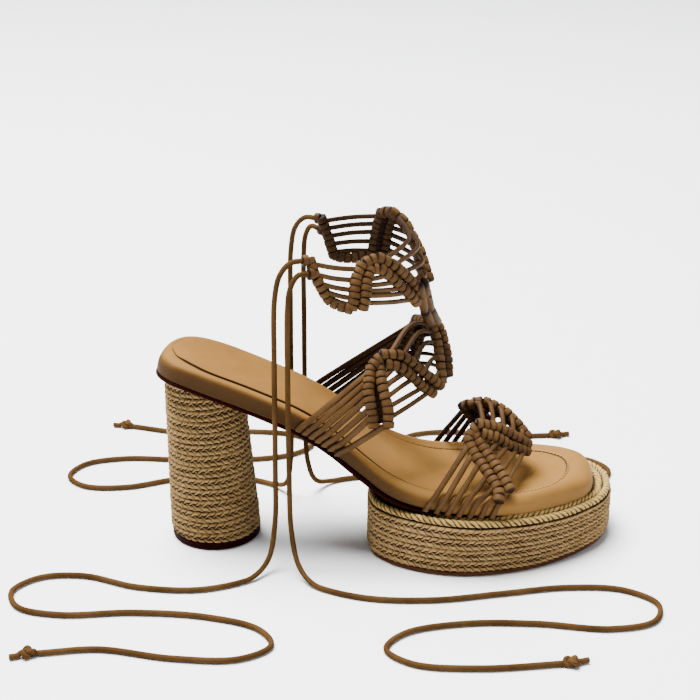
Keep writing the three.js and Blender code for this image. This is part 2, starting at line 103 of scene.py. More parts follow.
def setStage():
    world = bpy.context.scene.world or bpy.data.worlds.new("studio")
    bpy.context.scene.world = world
    world.use_nodes = True
    setInputs(world.node_tree.nodes["Background"], Color=studio["skyColour"], Strength=studio["sky"])
    half = studio["floorSize"] / 2
    mesh = bpy.data.meshes.new("floor")
    corners = [(-half, -half, 0), (half, -half, 0), (half, half, 0), (-half, half, 0)]
    mesh.from_pydata(corners, [], [(0, 1, 2, 3)])
    floor = addObject("floor", mesh)
    floor.location.z = -studio["floorDrop"]
    paint, _, coat = blankMaterial("floor_paper")
    setInputs(coat, Base_Color=studio["floorColour"], Roughness=studio["floorRoughness"])
    mesh.materials.append(paint)
    for name, card in studio["lamps"].items():
        softLight(name, card)


setCamera()
setStage()
print("camera and studio set")


# curves

def shares(count):
    return np.linspace(0, 1, count)


def circle(count):  # angles once round
    return np.linspace(0, 2 * math.pi, count, endpoint=False)


def partOf(x, span):  # how far x has come along a span, 0 to 1
    return np.clip((np.asarray(x, float) - span[0]) / (span[1] - span[0]), 0, 1)


def mix(a, b, share):
    return a + (b - a) * share


def smooth(share):
    share = np.clip(share, 0, 1)
    return share * share * (3 - 2 * share)


def unit(v):
    v = np.asarray(v, float)
    return v / np.maximum(np.linalg.norm(v, axis=-1, keepdims=True), 1e-9)


def spline(points, where, closed=False):  # centripetal curve through points, where runs 0 to 1
    p = np.asarray(points, float)
    spans = len(p) if closed else len(p) - 1
    if closed:
        ext = np.vstack([p[-1], p, p[0], p[1]])
    else:
        ext = np.vstack([2 * p[0] - p[1], p, 2 * p[-1] - p[-2]])
    at = np.clip(np.asarray(where, float), 0, 1) * spans
    i = np.minimum(at.astype(int), spans - 1)
    w = (at - i)[:, None]
    p0, p1, p2, p3 = ext[i], ext[i + 1], ext[i + 2], ext[i + 3]
    d0, d1, d2 = [
        np.maximum(np.linalg.norm(b - a, axis=1) ** 0.5, 1e-6)[:, None]
        for a, b in ((p0, p1), (p1, p2), (p2, p3))
    ]
    t1 = ((p1 - p0) / d0 - (p2 - p0) / (d0 + d1) + (p2 - p1) / d1) * d1
    t2 = ((p2 - p1) / d1 - (p3 - p1) / (d1 + d2) + (p3 - p2) / d2) * d1
    return p1 + t1 * w + (-3 * p1 + 3 * p2 - 2 * t1 - t2) * w**2 + (2 * p1 - 2 * p2 + t1 + t2) * w**3


def lengthOf(path):
    return float(np.linalg.norm(np.diff(path, axis=0), axis=1).sum())


def runAlong(path):
    return np.concatenate([[0], np.cumsum(np.linalg.norm(np.diff(path, axis=0), axis=1))])


def evenly(path, count, closed=False):  # points at equal steps along a path
    p = np.asarray(path, float)
    if closed:
        p = np.vstack([p, p[0]])
    run = runAlong(p)
    want = np.linspace(0, run[-1], count + 1)[:-1] if closed else np.linspace(0, run[-1], count)
    return np.stack([np.interp(want, run, p[:, k]) for k in range(3)], 1)


def framesAlong(path, closed=False, up=None):  # out and side at each point
    if closed:
        tangent = unit(np.roll(path, -1, 0) - np.roll(path, 1, 0))
    else:
        tangent = unit(np.gradient(path, axis=0))
    out = np.zeros_like(path)
    steep = abs(tangent[0][2]) >= 0.9
    normal = np.array([0, 1.0, 0]) if steep else np.array([0, 0, 1.0])
    for i, t in enumerate(tangent):
        if up is not None:
            normal = np.asarray(up[i] if np.ndim(up) == 2 else up, float)
        normal = unit(normal - t * np.dot(normal, t))
        out[i] = normal
    return out, np.cross(tangent, out)


# meshes

laceShade = {"edgeSlope": 2.2, "edgeStart": 1.2, "innerSlope": 1.5}  # how the tone falls off round a lace: painted shade on its edges and on its side turned in


def newBag():
    return {"verts": [], "faces": [], "uv": [], "shade": [], "count": 0}


def addFace(bag, ids):
    bag["faces"].append(ids)
    bag["uv"].append(np.zeros((len(ids), 2)))


def addLid(bag, base, count):  # closes a ring, crossed from side to side
    for k in range(count // 2 - 1):
        addFace(bag, [base + k, base + k + 1, base + count - 2 - k, base + count - 1 - k])


def addGrid(bag, grid, uv, shade=None, loop=False, caps=True):
    rows, cols = grid.shape[:2]
    index = bag["count"] + np.arange(rows * cols).reshape(rows, cols)
    bag["verts"].append(grid.reshape(-1, 3))
    bag["shade"].append(np.ones(rows * cols) if shade is None else shade.reshape(-1))
    bag["count"] += rows * cols
    r = np.arange(rows if loop else rows - 1)
    r, c = [a.reshape(-1) for a in np.meshgrid(r, np.arange(cols), indexing="ij")]
    r1, c1 = (r + 1) % rows, (c + 1) % cols
    quads = np.stack([index[r, c], index[r, c1], index[r1, c1], index[r1, c]], 1)
    bag["faces"].extend(quads.tolist())
    corners = np.stack([uv[r, c], uv[r, c + 1], uv[r + 1, c + 1], uv[r + 1, c]], 1)
    bag["uv"].append(corners.reshape(-1, 2))
    if caps and not loop:
        addFace(bag, index[0][::-1].tolist())
        addFace(bag, index[-1].tolist())


def uvGrid(along, around):  # one more row and column than the points have, for seams
    return np.stack(np.meshgrid(along, around, indexing="ij"), -1)


def flattened(wave, square):  # rounds a circle towards a lace's flat section
    return np.sign(wave) * np.abs(wave) ** square


def addTube(bag, path, across, thick=None, sides=12, closed=False, up=None, square=1.0,
            edgeShade=1.0, innerShade=1.0):
    thick = across if thick is None else thick
    out, side = framesAlong(path, closed, up)
    angle = circle(sides)
    lift, reach = flattened(np.cos(angle), square), flattened(np.sin(angle), square)
    grid = path[:, None] + thick * lift[None, :, None] * out[:, None]
    grid = grid + across * reach[None, :, None] * side[:, None]
    # painted shade: darker towards the lace's edges and on the side turned in towards the foot
    edge = np.clip(np.abs(reach) * laceShade["edgeSlope"] - laceShade["edgeStart"], 0, 1)
    inner = np.clip(-laceShade["innerSlope"] * lift, 0, 1)
    tone = mix(1, edgeShade, edge) * mix(1, innerShade, inner)
    run = runAlong(path)
    run = np.append(run, run[-1] + np.linalg.norm(path[0] - path[-1]) if closed else run[-1])
    uv = uvGrid(run, np.linspace(0, 2 * math.pi * across, sides + 1))
    addGrid(bag, grid, uv, np.tile(tone, (len(path), 1)), loop=closed)


def pieceFrom(name, bag, finish, nodes=()):
    mesh = bpy.data.meshes.new(name)
    verts = np.concatenate(bag["verts"]) * mm
    mesh.from_pydata(verts.tolist(), [], bag["faces"])
    layer = mesh.uv_layers.new(name="weave")
    layer.data.foreach_set("uv", np.concatenate(bag["uv"]).astype(np.float32).reshape(-1))
    tone = mesh.attributes.new("shade", "FLOAT", "POINT")
    tone.data.foreach_set("value", np.concatenate(bag["shade"]).astype(np.float32))
    work = bmesh.new()
    work.from_mesh(mesh)
    bmesh.ops.recalc_face_normals(work, faces=work.faces)
    work.to_mesh(mesh)
    work.free()
    mesh.shade_smooth()
    mesh.materials.append(paints[finish])
    piece = addObject(name, mesh)
    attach(piece, "root")
    if nodes:
        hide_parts(*nodes)
    return piece


# materials

leather = {  # noise layers: scale as a multiple of the finish's own, detail
    "cloud": (1, 3.0), "mottle": (7, 5.0), "wrinkle": (0.45, 6.0),
    "cloudStops": (0.3, 0.7), "mottleStops": (0.35, 0.65), "mottleShare": 0.16,
    "poreDepth": 0.0003, "wrinkleShare": 0.8, "wrinkleDepth": 0.0004,
}
jute = {  # noise layers: scale, detail
    "fibre": (1.0, 4.0), "strand": (1100.0, 2.0), "cloud": (55.0, 3.0), "fuzz": (2600.0, 3.0),
    "stretch": (0.16, 1.7, 1), "fibreRoughness": 0.65, "fibreStops": (0.28, 0.5, 0.72),
    "strandStops": (0.38, 0.62), "strandShare": 0.4, "cloudStops": (0.35, 0.65), "cloudShare": 0.22,
    "gapStops": (0.24, 0.78), "relief": 0.7, "fibreDepth": 0.0006, "fuzzShare": 0.6, "fuzzDepth": 0.0004,
    "roughness": 0.86, "specular": 0.1, "sheen": 0.03, "sheenRoughness": 0.5,
}


def node(tree, kind, links=(), **values):
    made = tree.nodes.new(kind)
    for key, value in values.items():
        if hasattr(made, key):
            setattr(made, key, value)
        else:
            setInputs(made, **{key: value})
    for key, source in links:
        tree.links.new(source, made.inputs[key])
    return made


def noise(tree, source, layer, times=1, **values):
    scale, detail = layer
    made = node(tree, "ShaderNodeTexNoise", [("Vector", source)], Scale=times * scale, Detail=detail, **values)
    return made.outputs["Fac"]


def ramp(tree, source, places, colours):
    made = node(tree, "ShaderNodeValToRGB", [("Fac", source)])
    marks = made.color_ramp.elements
    while len(marks) < len(places):
        marks.new(0.5)
    for mark, place, colour in zip(marks, places, colours):
        mark.position = place
        mark.color = (*colour, 1)
    return made.outputs["Color"]


def blendColour(tree, factor, a, b):
    made = tree.nodes.new("ShaderNodeMix")
    made.data_type = "RGBA"
    for socket, value in ((made.inputs["Factor"], factor), (made.inputs[6], a), (made.inputs[7], b)):
        if hasattr(value, "is_linked"):
            tree.links.new(value, socket)
        else:
            socket.default_value = value
    return made.outputs[2]


def shadeOf(tree):
    return node(tree, "ShaderNodeAttribute", attribute_name="shade").outputs["Fac"]


def addRelief(tree, coat, layers):  # bump on bump: source, strength, depth in metres
    under = []
    for source, strength, depth in layers:
        links = [("Height", source), *under]
        made = node(tree, "ShaderNodeBump", links, Strength=strength, Distance=depth)
        under = [("Normal", made.outputs["Normal"])]
    tree.links.new(made.outputs["Normal"], coat.inputs["Normal"])


def makeLeather(name, finish):
    material, tree, coat = blankMaterial(name)
    place = tree.nodes.new("ShaderNodeTexCoord").outputs["Object"]
    pair = (finish["deep"], finish["light"])
    cloud = noise(tree, place, leather["cloud"], finish["cloud"])
    mottle = noise(tree, place, leather["mottle"], finish["cloud"])
    tone = ramp(tree, cloud, leather["cloudStops"], pair)
    tone = blendColour(tree, leather["mottleShare"], tone, ramp(tree, mottle, leather["mottleStops"], pair))
    # painted shade: the shade attribute darkens the colour towards the crease colour in creases, slits, grooves and
    # down the footbed's wall, where there is some burnish too
    tone = blendColour(tree, shadeOf(tree), (*finish["crease"], 1), tone)
    tree.links.new(tone, coat.inputs["Base Color"])
    pores = node(tree, "ShaderNodeTexVoronoi", [("Vector", place)], Scale=finish["pores"]).outputs["Distance"]
    wrinkle = noise(tree, place, leather["wrinkle"], finish["pores"])
    addRelief(tree, coat, [
        (pores, finish["relief"], leather["poreDepth"]),
        (wrinkle, finish["relief"] * leather["wrinkleShare"], leather["wrinkleDepth"]),
    ])
    low, high = finish["roughness"]
    rough = node(tree, "ShaderNodeMapRange", [("Value", mottle)], To_Min=low, To_Max=high)
    tree.links.new(rough.outputs["Result"], coat.inputs["Roughness"])
    setInputs(coat, Specular_IOR_Level=finish["specular"])
    return material


def makeJute(name, finish):
    material, tree, coat = blankMaterial(name)
    place = tree.nodes.new("ShaderNodeTexCoord").outputs["Object"]
    lay = node(tree, "ShaderNodeUVMap", uv_map="weave").outputs["UV"]
    stretch = node(tree, "ShaderNodeMapping", [("Vector", lay)], Scale=jute["stretch"]).outputs["Vector"]
    deep, middle, light = finish["deep"], finish["middle"], finish["light"]
    fibre = noise(tree, stretch, jute["fibre"], Roughness=jute["fibreRoughness"])
    cloud, strand, fuzz = [noise(tree, place, jute[key]) for key in ("cloud", "strand", "fuzz")]
    tone = ramp(tree, fibre, jute["fibreStops"], (deep, middle, light))
    tone = blendColour(tree, jute["strandShare"], tone, ramp(tree, strand, jute["strandStops"], (deep, light)))
    tone = blendColour(tree, jute["cloudShare"], tone, ramp(tree, cloud, jute["cloudStops"], (middle, light)))
    # painted shade: the shade attribute darkens the gaps between lobes and strands towards the gap colour
    depth = ramp(tree, shadeOf(tree), jute["gapStops"], ((0, 0, 0), (1, 1, 1)))
    tone = blendColour(tree, depth, (*finish["gap"], 1), tone)
    tree.links.new(tone, coat.inputs["Base Color"])
    addRelief(tree, coat, [
        (fibre, jute["relief"], jute["fibreDepth"]),
        (fuzz, jute["relief"] * jute["fuzzShare"], jute["fuzzDepth"]),
    ])
    setInputs(coat, Roughness=jute["roughness"], Specular_IOR_Level=jute["specular"],
              Sheen_Weight=jute["sheen"], Sheen_Roughness=jute["sheenRoughness"])
    return material


cordGrain = {
    "crease": (0.005, 0.0012, 0.0002), "cloud": 60.0, "pores": 2600.0, "relief": 0.14, "roughness": (0.46, 0.6),
}
finishes = {
    "tan_leather": {
        "light": (0.2, 0.099, 0.0245), "deep": (0.142, 0.0665, 0.0145), "crease": (0.0165, 0.0062, 0.0015),
        "cloud": 18.0, "pores": 2300.0, "relief": 0.10, "roughness": (0.52, 0.66), "specular": 0.055,
    },
    "cord_leather": {
        "light": (0.099, 0.0492, 0.0158), "deep": (0.049, 0.0222, 0.0064), "specular": 0.055, **cordGrain,
    },
    "tie_leather": {  # dry, so that it isn't grey seen end on
        "light": (0.069, 0.0352, 0.0125), "deep": (0.037, 0.0178, 0.0058), "specular": 0.0, **cordGrain,
    },
    "dark_leather": {
        "light": (0.012, 0.0008, 0.0004), "deep": (0.006, 0.0004, 0.0002), "crease": (0.003, 0.0006, 0.0004),
        "cloud": 40.0, "pores": 2200.0, "relief": 0.12, "roughness": (0.5, 0.62), "specular": 0.015,
    },
    "sole_leather": {
        "light": (0.085, 0.030, 0.010), "deep": (0.045, 0.015, 0.005), "crease": (0.02, 0.008, 0.004),
        "cloud": 40.0, "pores": 1600.0, "relief": 0.2, "roughness": (0.5, 0.65), "specular": 0.06,
    },
    "stitch_thread": {
        "light": (0.34, 0.2, 0.076), "deep": (0.27, 0.15, 0.052), "crease": (0.1, 0.05, 0.02),
        "cloud": 200.0, "pores": 5000.0, "relief": 0.2, "roughness": (0.5, 0.6), "specular": 0.2,
    },
    # the heel's braid is the same jute as the platform's, given darker colours as painted shade
    "heel_jute_braid": {
        "light": (0.365, 0.236, 0.092), "middle": (0.19, 0.11, 0.035), "deep": (0.07, 0.032, 0.0075),
        "gap": (0.011, 0.0043, 0.0009),
    },
    "platform_jute_braid": {
        "light": (0.46, 0.3, 0.126), "middle": (0.25, 0.148, 0.052), "deep": (0.09, 0.044, 0.0112),
        "gap": (0.02, 0.0085, 0.002),
    },
    "jute_rope": {
        "light": (0.54, 0.365, 0.118), "middle": (0.34, 0.213, 0.062), "deep": (0.125, 0.063, 0.0145),
        "gap": (0.008, 0.0035, 0.0009),
    },
}
paints = {name: (makeJute if "gap" in finish else makeLeather)(name, finish) for name, finish in finishes.items()}
print("finishes made")


# ties, from the cuff's back down to the floor and loose along it

floorLine = 1.55
ties = {
    "radius": 1.45, "flatten": 0.96, "sides": 14, "steps": 300,
    "routes": {  # points with two numbers lie on the floor
        "tie_outer_rear": [
            (52.7, -31.2, 166.5), (46, -34, 166), (41, -36.6, 160.5), (38.4, -38, 149), (37.6, -38.6, 115),
            (37.2, -38.8, 60), (36.4, -40, 24), (33, -46, 7), (24, -57), (0, -68), (-32, -67), (-62, -57),
            (-84, -60), (-95, -74), (-88, -90), (-66, -96), (-30, -92), (6, -94), (34, -104), (42, -119),
            (28, -131), (-4, -132), (-40, -126), (-68, -131),
        ],
        "tie_outer_front": [
            (55.6, -33.5, 160.4), (50, -37.5, 160.8), (46.4, -40.4, 155), (45, -41.6, 144), (44.6, -42, 110),
            (44.6, -42.4, 58), (45.6, -44, 22), (50, -51, 6.5), (60, -62), (86, -72), (120, -72), (154, -64),
            (188, -56), (216, -57), (232, -70), (228, -87), (206, -95), (170, -92), (134, -94), (106, -104),
            (97, -119), (110, -131), (142, -133), (180, -127),
        ],
        "tie_inner_rear": [
            (54.5, 31.8, 170.2), (47.6, 34.6, 169.8), (42.4, 36.8, 164), (39.8, 38, 152), (39, 38.6, 116),
            (38.6, 38.8, 60), (37.6, 40, 24), (34, 46, 7), (24, 56), (-2, 64), (-32, 59), (-60, 47), (-84, 47),
            (-96, 60), (-90, 77), (-68, 86), (-32, 86), (4, 88), (34, 98), (44, 113), (32, 126), (0, 130),
            (-38, 126), (-72, 134),
        ],
        "tie_inner_front": [
            (56.3, 33.9, 163.4), (50.6, 38.4, 164), (47.4, 41.2, 158), (46.2, 42.2, 146), (46, 42.6, 112),
            (46, 43, 58), (47, 44.6, 22), (51.4, 51.6, 6.5), (61, 62), (88, 70), (122, 69), (156, 62), (188, 60),
            (214, 67), (224, 83), (214, 98), (186, 102), (150, 96), (118, 99), (98, 112), (104, 128), (128, 136),
            (162, 131), (192, 134),
        ],
    },
}
endKnot = {
    "size": 0.95, "long": 1.1, "tall": 1.15, "thick": 0.85, "ahead": 4.2, "clear": 0.1, "steps": 72, "sides": 12,
    "tailThick": 0.97, "tailSteps": 30,
    "tail": [(0, 0, 0), (1.5, 0, 0), (4.2, 0, 1.6), (7.6, 0, 0.6), (9, 0.8, 0), (13, 1.6, 0)],  # ahead, aside, up
}


def tieKnot(name, path):  # overhand knot drawn as a closed three-lobed loop, with the tail run through it
    end, ahead = path[-1], unit(path[-1] - path[-4])
    side, up = np.array([-ahead[1], ahead[0], 0]), np.array([0, 0, 1.0])
    turn = circle(endKnot["steps"])
    size, thick = endKnot["size"], ties["radius"] * endKnot["thick"]
    across = size * (np.sin(turn) + 2 * np.sin(2 * turn))
    along = size * endKnot["long"] * (np.cos(turn) - 2 * np.cos(2 * turn))
    height = -size * endKnot["tall"] * np.sin(3 * turn)
    middle = end + ahead * endKnot["ahead"]
    loop = middle + across[:, None] * side + along[:, None] * ahead + height[:, None] * up
    loop[:, 2] += thick + endKnot["clear"] - loop[:, 2].min()
    knot = newBag()
    addTube(knot, loop, thick, sides=endKnot["sides"], closed=True, up=(0.02, 0.03, 1))
    tail = np.array([end + ahead * a + side * b + up * c for a, b, c in endKnot["tail"]])
    tail[-2:, 2] = floorLine
    tail = spline(tail, shares(endKnot["tailSteps"]))
    addTube(knot, tail, ties["radius"] * endKnot["tailThick"], sides=endKnot["sides"])
    return pieceFrom(name + "_end_knot", knot, "tie_leather", [name + "_knot"])


def layTie(name, route):
    route = [p if len(p) == 3 else (*p, floorLine) for p in route]
    path = evenly(spline(route, shares(3 * ties["steps"])), ties["steps"])
    path[:, 2] = np.maximum(path[:, 2], floorLine)
    bag = newBag()
    addTube(bag, path, ties["radius"], ties["radius"] * ties["flatten"], ties["sides"])
    cord = pieceFrom(name + "_cord", bag, "tie_leather", [name])
    stopper = tieKnot(name, path)
    long = lengthOf(path)
    return long


tieLengths = {name: round(layTie(name, route)) for name, route in ties["routes"].items()}
print("ties laid, mm:", tieLengths)


# heights and outlines of the sole

heights = [  # x, sole's underside, its thickness, crest of the rim
    (-31, 97.4, 2.6, 110.4), (-14, 94.2, 2.6, 107.2), (1, 89.4, 2.6, 102.4), (16, 83.8, 2.6, 96.8),
    (31, 77.6, 2.7, 90.6), (46, 70.8, 2.8, 84), (55, 65.7, 3.1, 79), (65, 59.1, 3.5, 72.7), (74, 52.2, 3.9, 66.1),
    (84, 44.8, 3.7, 58.4), (94, 38.8, 2.5, 51.7), (106, 35, 1.5, 46.5), (120, 33.2, 0.7, 43.2), (140, 32, 0, 42.1),
    (163, 30.9, 0, 42), (186, 29.8, 0, 42), (216, 29.8, 0, 42),
]
footEdge = [  # x, outer, inner
    (-27, -10.6, -1), (-25.4, -15.2, 9), (-22.4, -19.2, 15.6), (-17.6, -22.9, 20.8), (-10, -25.4, 24.6),
    (2, -26.8, 26.8), (24, -27, 27), (46, -27, 27), (64, -28.5, 27.5), (80, -32, 28.5), (97, -36.5, 31),
    (116, -40, 34), (135, -41.5, 37), (150, -40, 37.8), (166, -35, 37), (181, -26.2, 35.4), (192.6, -18.2, 32.4),
    (200.4, -10.8, 27), (203.7, -4, 18.5),
]
sockEdge = [
    (-19.6, -4, 3), (-18, -8.6, 8), (-15.8, -13, 12.6), (-12, -16, 16), (-6, -19.2, 19.2), (3, -22, 22),
    (25, -22, 22), (46, -22, 21.5), (63, -22.5, 21), (78, -24, 20.5), (94, -27, 21), (112, -29.5, 22.5),
    (131, -31, 24), (146, -30.5, 25), (160, -28, 25.4), (173, -22.8, 25), (180, -17.8, 23.6), (185.4, -11.2, 20.4),
    (189, -4, 17), (190.8, 3, 11.6),
]
platformEdge = [
    (84, -11, 7), (85, -19, 15.5), (88.2, -26.4, 23), (96, -34.2, 30.4), (106, -40, 36.4), (118, -44, 40.6),
    (132, -45.7, 43.6), (146, -44.5, 45), (160, -40.7, 45.6), (175, -34.3, 45.6), (190, -25, 44.6),
    (201, -15.6, 42.4), (208.5, -7.2, 38), (213.2, 1.6, 31), (215.6, 10.5, 22),
]
soleSizes = {
    "gap": 0.45, "end": 122, "flange": 0.9, "rimHeel": 0.7, "sockHeel": -0.9, "recessBall": 1.5,
    "ball": (50, 120), "pad": (-20, -11), "slitBack": (-8, -14), "slitSide": (2, 5),
}


def heightLine(k):
    line = spline([(row[0], 0, row[k]) for row in heights], shares(400))
    return lambda x: np.interp(x, line[:, 0], line[:, 2])


underZ, soleThick, bedCrest = [heightLine(k) for k in (1, 2, 3)]


def bedBottom(x):
    return underZ(x) + soleThick(x) + soleSizes["gap"]


def ballShare(x):
    return smooth(partOf(x, soleSizes["ball"]))


def padShare(x):  # the pad runs into the rim at the very back
    return partOf(x, soleSizes["pad"])


def slitShare(ring):  # the slit beside the pad ends short of the heel's middle
    back = partOf(ring[:, 0], soleSizes["slitBack"])
    return 1 - back * (1 - partOf(np.abs(ring[:, 1]), soleSizes["slitSide"]))


def sunkZ(x, heelward):  # below the crest by one depth at the heel and another at the ball
    level = heelward * padShare(x)
    return bedCrest(x) - level - (soleSizes["recessBall"] - level) * ballShare(x)


def sockZ(x):  # raised pad at the heel, sunk panel at the ball
    return sunkZ(x, soleSizes["sockHeel"])


def rimZ(x):
    return sunkZ(x, soleSizes["rimHeel"])


def ringOf(table, count):  # closed ring in plan, outer side to the toe, inner side back
    rows = [(x, a, 0) for x, a, b in table] + [(x, b, 0) for x, a, b in table[::-1]]
    return spline(rows, np.arange(count) / count, closed=True)


def grown(ring, by):
    tangent = unit(np.roll(ring, -1, 0) - np.roll(ring, 1, 0))
    moved = ring.copy()
    moved[:, 0] += tangent[:, 1] * by
    moved[:, 1] -= tangent[:, 0] * by
    return moved


def edgeY(side, x):
    return np.interp(x, [row[0] for row in footEdge], [row[1 if side < 0 else 2] for row in footEdge])


# footbed, with the rolled rim and the sock set into it

bed = {
    "ring": 480, "across": 14, "rimSteps": 44, "weaveSteps": (0.6, 1.1),
    "drop": 0.5, "heelDrop": 0.7, "lean": 2.6, "leanDeep": 6, "leanSpan": (-6, -22),
    # painted shade at the slit's edge and in the puckers of the stitched groove
    "padTone": 0.84, "edgeShade": 0.8, "paleSpan": (92, 150), "foreLeast": 0.15, "crown": 0.5, "dish": 0.9,
    "puckerTones": (0.05, 0.7), "puckerRows": ((-2, 0.1), (-3, 0.3), (-4, 0.6)), "puckerDeep": 0.22,
    "panelLift": 0.25,
}
rimShape = [  # measured from; share across and height at the heel, then at the ball; tone at the heel and at the ball, which is painted shade down the wall and along the underside, with some real burnish on the heel's wall
    ("bottom", 0.15, -0.8, 0.3, 0.1, 0.25, 0.3), ("bottom", 0.03, -0.7, 0.13, 0.5, 0.25, 0.5),
    ("bottom", 0.0, 0.6, 0.03, 1.9, 0.12, 0.85), ("crest", 0.0, -3.6, 0.0, -4.8, 0.16, 1.0),
    ("crest", 0.05, -2.0, 0.05, -3.2, 0.28, 1.0), ("crest", 0.15, -0.9, 0.14, -1.9, 0.66, 1.0),
    ("crest", 0.3, -0.3, 0.25, -0.95, 0.86, 1.0), ("crest", 0.46, -0.06, 0.4, -0.28, 0.92, 1.0),
    ("crest", 0.62, 0.0, 0.6, 0.0, 0.92, 1.0), ("rim", 0.79, 0.6, 0.78, 0.75, 0.92, 1.0),
    ("rim", 0.92, 0.22, 0.92, 0.25, 0.92, 1.0), ("rim", 1.0, 0.0, 1.0, 0.0, 0.9, 1.0),
]
padEdge = [  # measured from, share across, height, tone; the tone paints shade into the slit at the pad's edge and into the groove round the sunk panel
    ("rim", 1.0, -0.5, 0.0), ("sock", 1.015, -0.5, 0.0), ("sock", 1.03, -0.12, 0.5), ("sock", 1.08, 0, 1.0),
]
stitches = {
    "from": 150, "step": 2.3, "long": 0.8, "radius": 0.46, "share": 0.972, "lift": 0.22,
    "over": 0.16, "bow": 0.9, "points": 6, "sides": 6, "fine": 3000, "look": 5,
}


def bedRings(edge, sock):  # rings from the underside over the rim to the pad, and their tones
    count = bed["ring"]
    levels = {"bottom": bedBottom, "crest": bedCrest, "rim": rimZ, "sock": sockZ}
    ahead, fore = ballShare(edge[:, 0]), ballShare(sock[:, 0])

    def ringAt(kind, share, up):
        share, up = np.broadcast_to(share, count), np.broadcast_to(up, count)
        ring = mix(edge, sock, share[:, None])
        ring[:, 2] = levels[kind](ring[:, 0]) + up * (padShare(ring[:, 0]) if kind == "rim" else 1)
        if kind == "crest":  # rim leans in towards the heel
            heelward = 1 - ballShare(ring[:, 0])
            back = partOf(ring[:, 0], bed["leanSpan"])
            ring[:, 2] -= (bed["drop"] * heelward + bed["heelDrop"] * back) * (1 - share)
            ring[:, 0] += bed["lean"] * back * np.clip(1 + up / bed["leanDeep"], 0, 1) * (1 - share)
        return ring

    marks = np.array([ringAt(m[0], mix(m[1], m[3], ahead), mix(m[2], m[4], ahead)) for m in rimShape])
    rings = np.stack([spline(marks[:, i], shares(bed["rimSteps"])) for i in range(count)], 1)
    reach = np.linspace(0, len(rimShape) - 1, bed["rimSteps"])
    # painted shade down the rim's wall and along its underside, more of it at the heel than at the ball; some burnish
    # on the heel's wall too
    dark, pale = [np.interp(reach, np.arange(len(rimShape)), [m[k] for m in rimShape]) for k in (5, 6)]
    tones = mix(dark[:, None], pale[:, None], smooth(partOf(edge[:, 0], bed["paleSpan"])))
    odd = np.arange(count) % 2  # puckers between the stitches, each with painted shade
    dash = np.where(odd, *bed["puckerTones"])
    tones[-1] = (1 - fore) * bed["edgeShade"] + fore * dash
    for row, least in bed["puckerRows"]:
        tones[row] = tones[row] * (1 - fore) + fore * mix(least, 1, dash)
    rings[-1][:, 2] -= bed["puckerDeep"] * fore * odd
    pad = [ringAt(*mark[:3]) for mark in padEdge]
    for ring, mark in zip(pad, padEdge):
        onRim = mark[0] == "rim"
        flush = (padShare(ring[:, 0]) if onRim else 1) - slitShare(ring)
        ring[:, 2] += fore * (bed["panelLift"] if onRim else 0.0) - mark[2] * flush
    # painted shade in the slit beside the heel's pad and in the groove round the forefoot's panel
    slit, rear = (1 - fore) * slitShare(sock), (1 - fore) * (1 - slitShare(sock))
    padTones = [slit * mark[3] + rear + fore * mix(bed["foreLeast"], 1, mark[3]) for mark in padEdge]
    heelTone = mix(bed["padTone"], 1, fore)
    return np.concatenate([rings, np.array(pad)]), np.concatenate([tones, np.array(padTones) * heelTone])


def buildBed():
    count, cols = bed["ring"], bed["across"]
    edge, sock = ringOf(footEdge, count), ringOf(sockEdge, count)
    rings, tones = bedRings(edge, sock)
    bag = newBag()
    up, along = bed["weaveSteps"]
    addGrid(bag, rings, uvGrid(np.arange(len(rings) + 1) * up, np.arange(count + 1) * along), tones, caps=False)
    last, half = (len(rings) - 1) * count, count // 2
    inner = []
    for k in range(1, half - 1):  # sock, crossed from side to side
        a, b = rings[-1][k], rings[-1][count - 1 - k]
        t = shares(cols + 1)[1:-1, None]
        row = mix(a, b, t)
        crown = np.sin(math.pi * t[:, 0])
        row[:, 2] = sockZ(row[:, 0]) + crown * (bed["crown"] - bed["dish"] * ballShare(row[:, 0]))
        inner.append(row)
    inner = np.concatenate(inner)
    start = bag["count"]
    bag["verts"].append(inner)
    bag["shade"].append(mix(bed["padTone"], 1, ballShare(inner[:, 0])))
    bag["count"] += len(inner)

    def rowIds(k):
        ids = [start + (k - 1) * (cols - 1) + j for j in range(cols - 1)]
        return [last + k, *ids, last + count - 1 - k]

    for k in range(1, half - 2):
        low, high = rowIds(k), rowIds(k + 1)
        for j in range(cols):
            addFace(bag, [low[j], low[j + 1], high[j + 1], high[j]])
    addFace(bag, [last + count - 1, last, *rowIds(1)])
    addFace(bag, [last + half, last + half - 1, *rowIds(half - 2)])
    addLid(bag, 0, count)  # underside
    piece = pieceFrom("padded_footbed", bag, "tan_leather", ["footbed"])
    return mix(edge, sock, stitches["share"])


def buildStitches(line):
    line[:, 2] = rimZ(line[:, 0]) + stitches["lift"]
    fine = evenly(line, stitches["fine"], closed=True)
    run = np.linalg.norm(np.roll(fine, -1, 0) - fine, axis=1).mean()
    look, long = stitches["look"], stitches["long"]
    bag = newBag()
    for i in range(0, len(fine), int(stitches["step"] / run)):
        if fine[i][0] < stitches["from"]:
            continue
        along = unit(fine[(i + look) % len(fine)] - fine[i - look])
        reach = np.linspace(-0.5, 0.5, stitches["points"]) * long
        thread = fine[i] + along * reach[:, None]
        thread[:, 2] += stitches["over"] - stitches["bow"] * (reach / long) ** 2
        addTube(bag, thread, stitches["radius"], sides=stitches["sides"])
    pieceFrom("footbed_stitches", bag, "stitch_thread")


buildStitches(buildBed())
print("footbed and its stitches built")


# leather sole, heel lift and forefoot sole

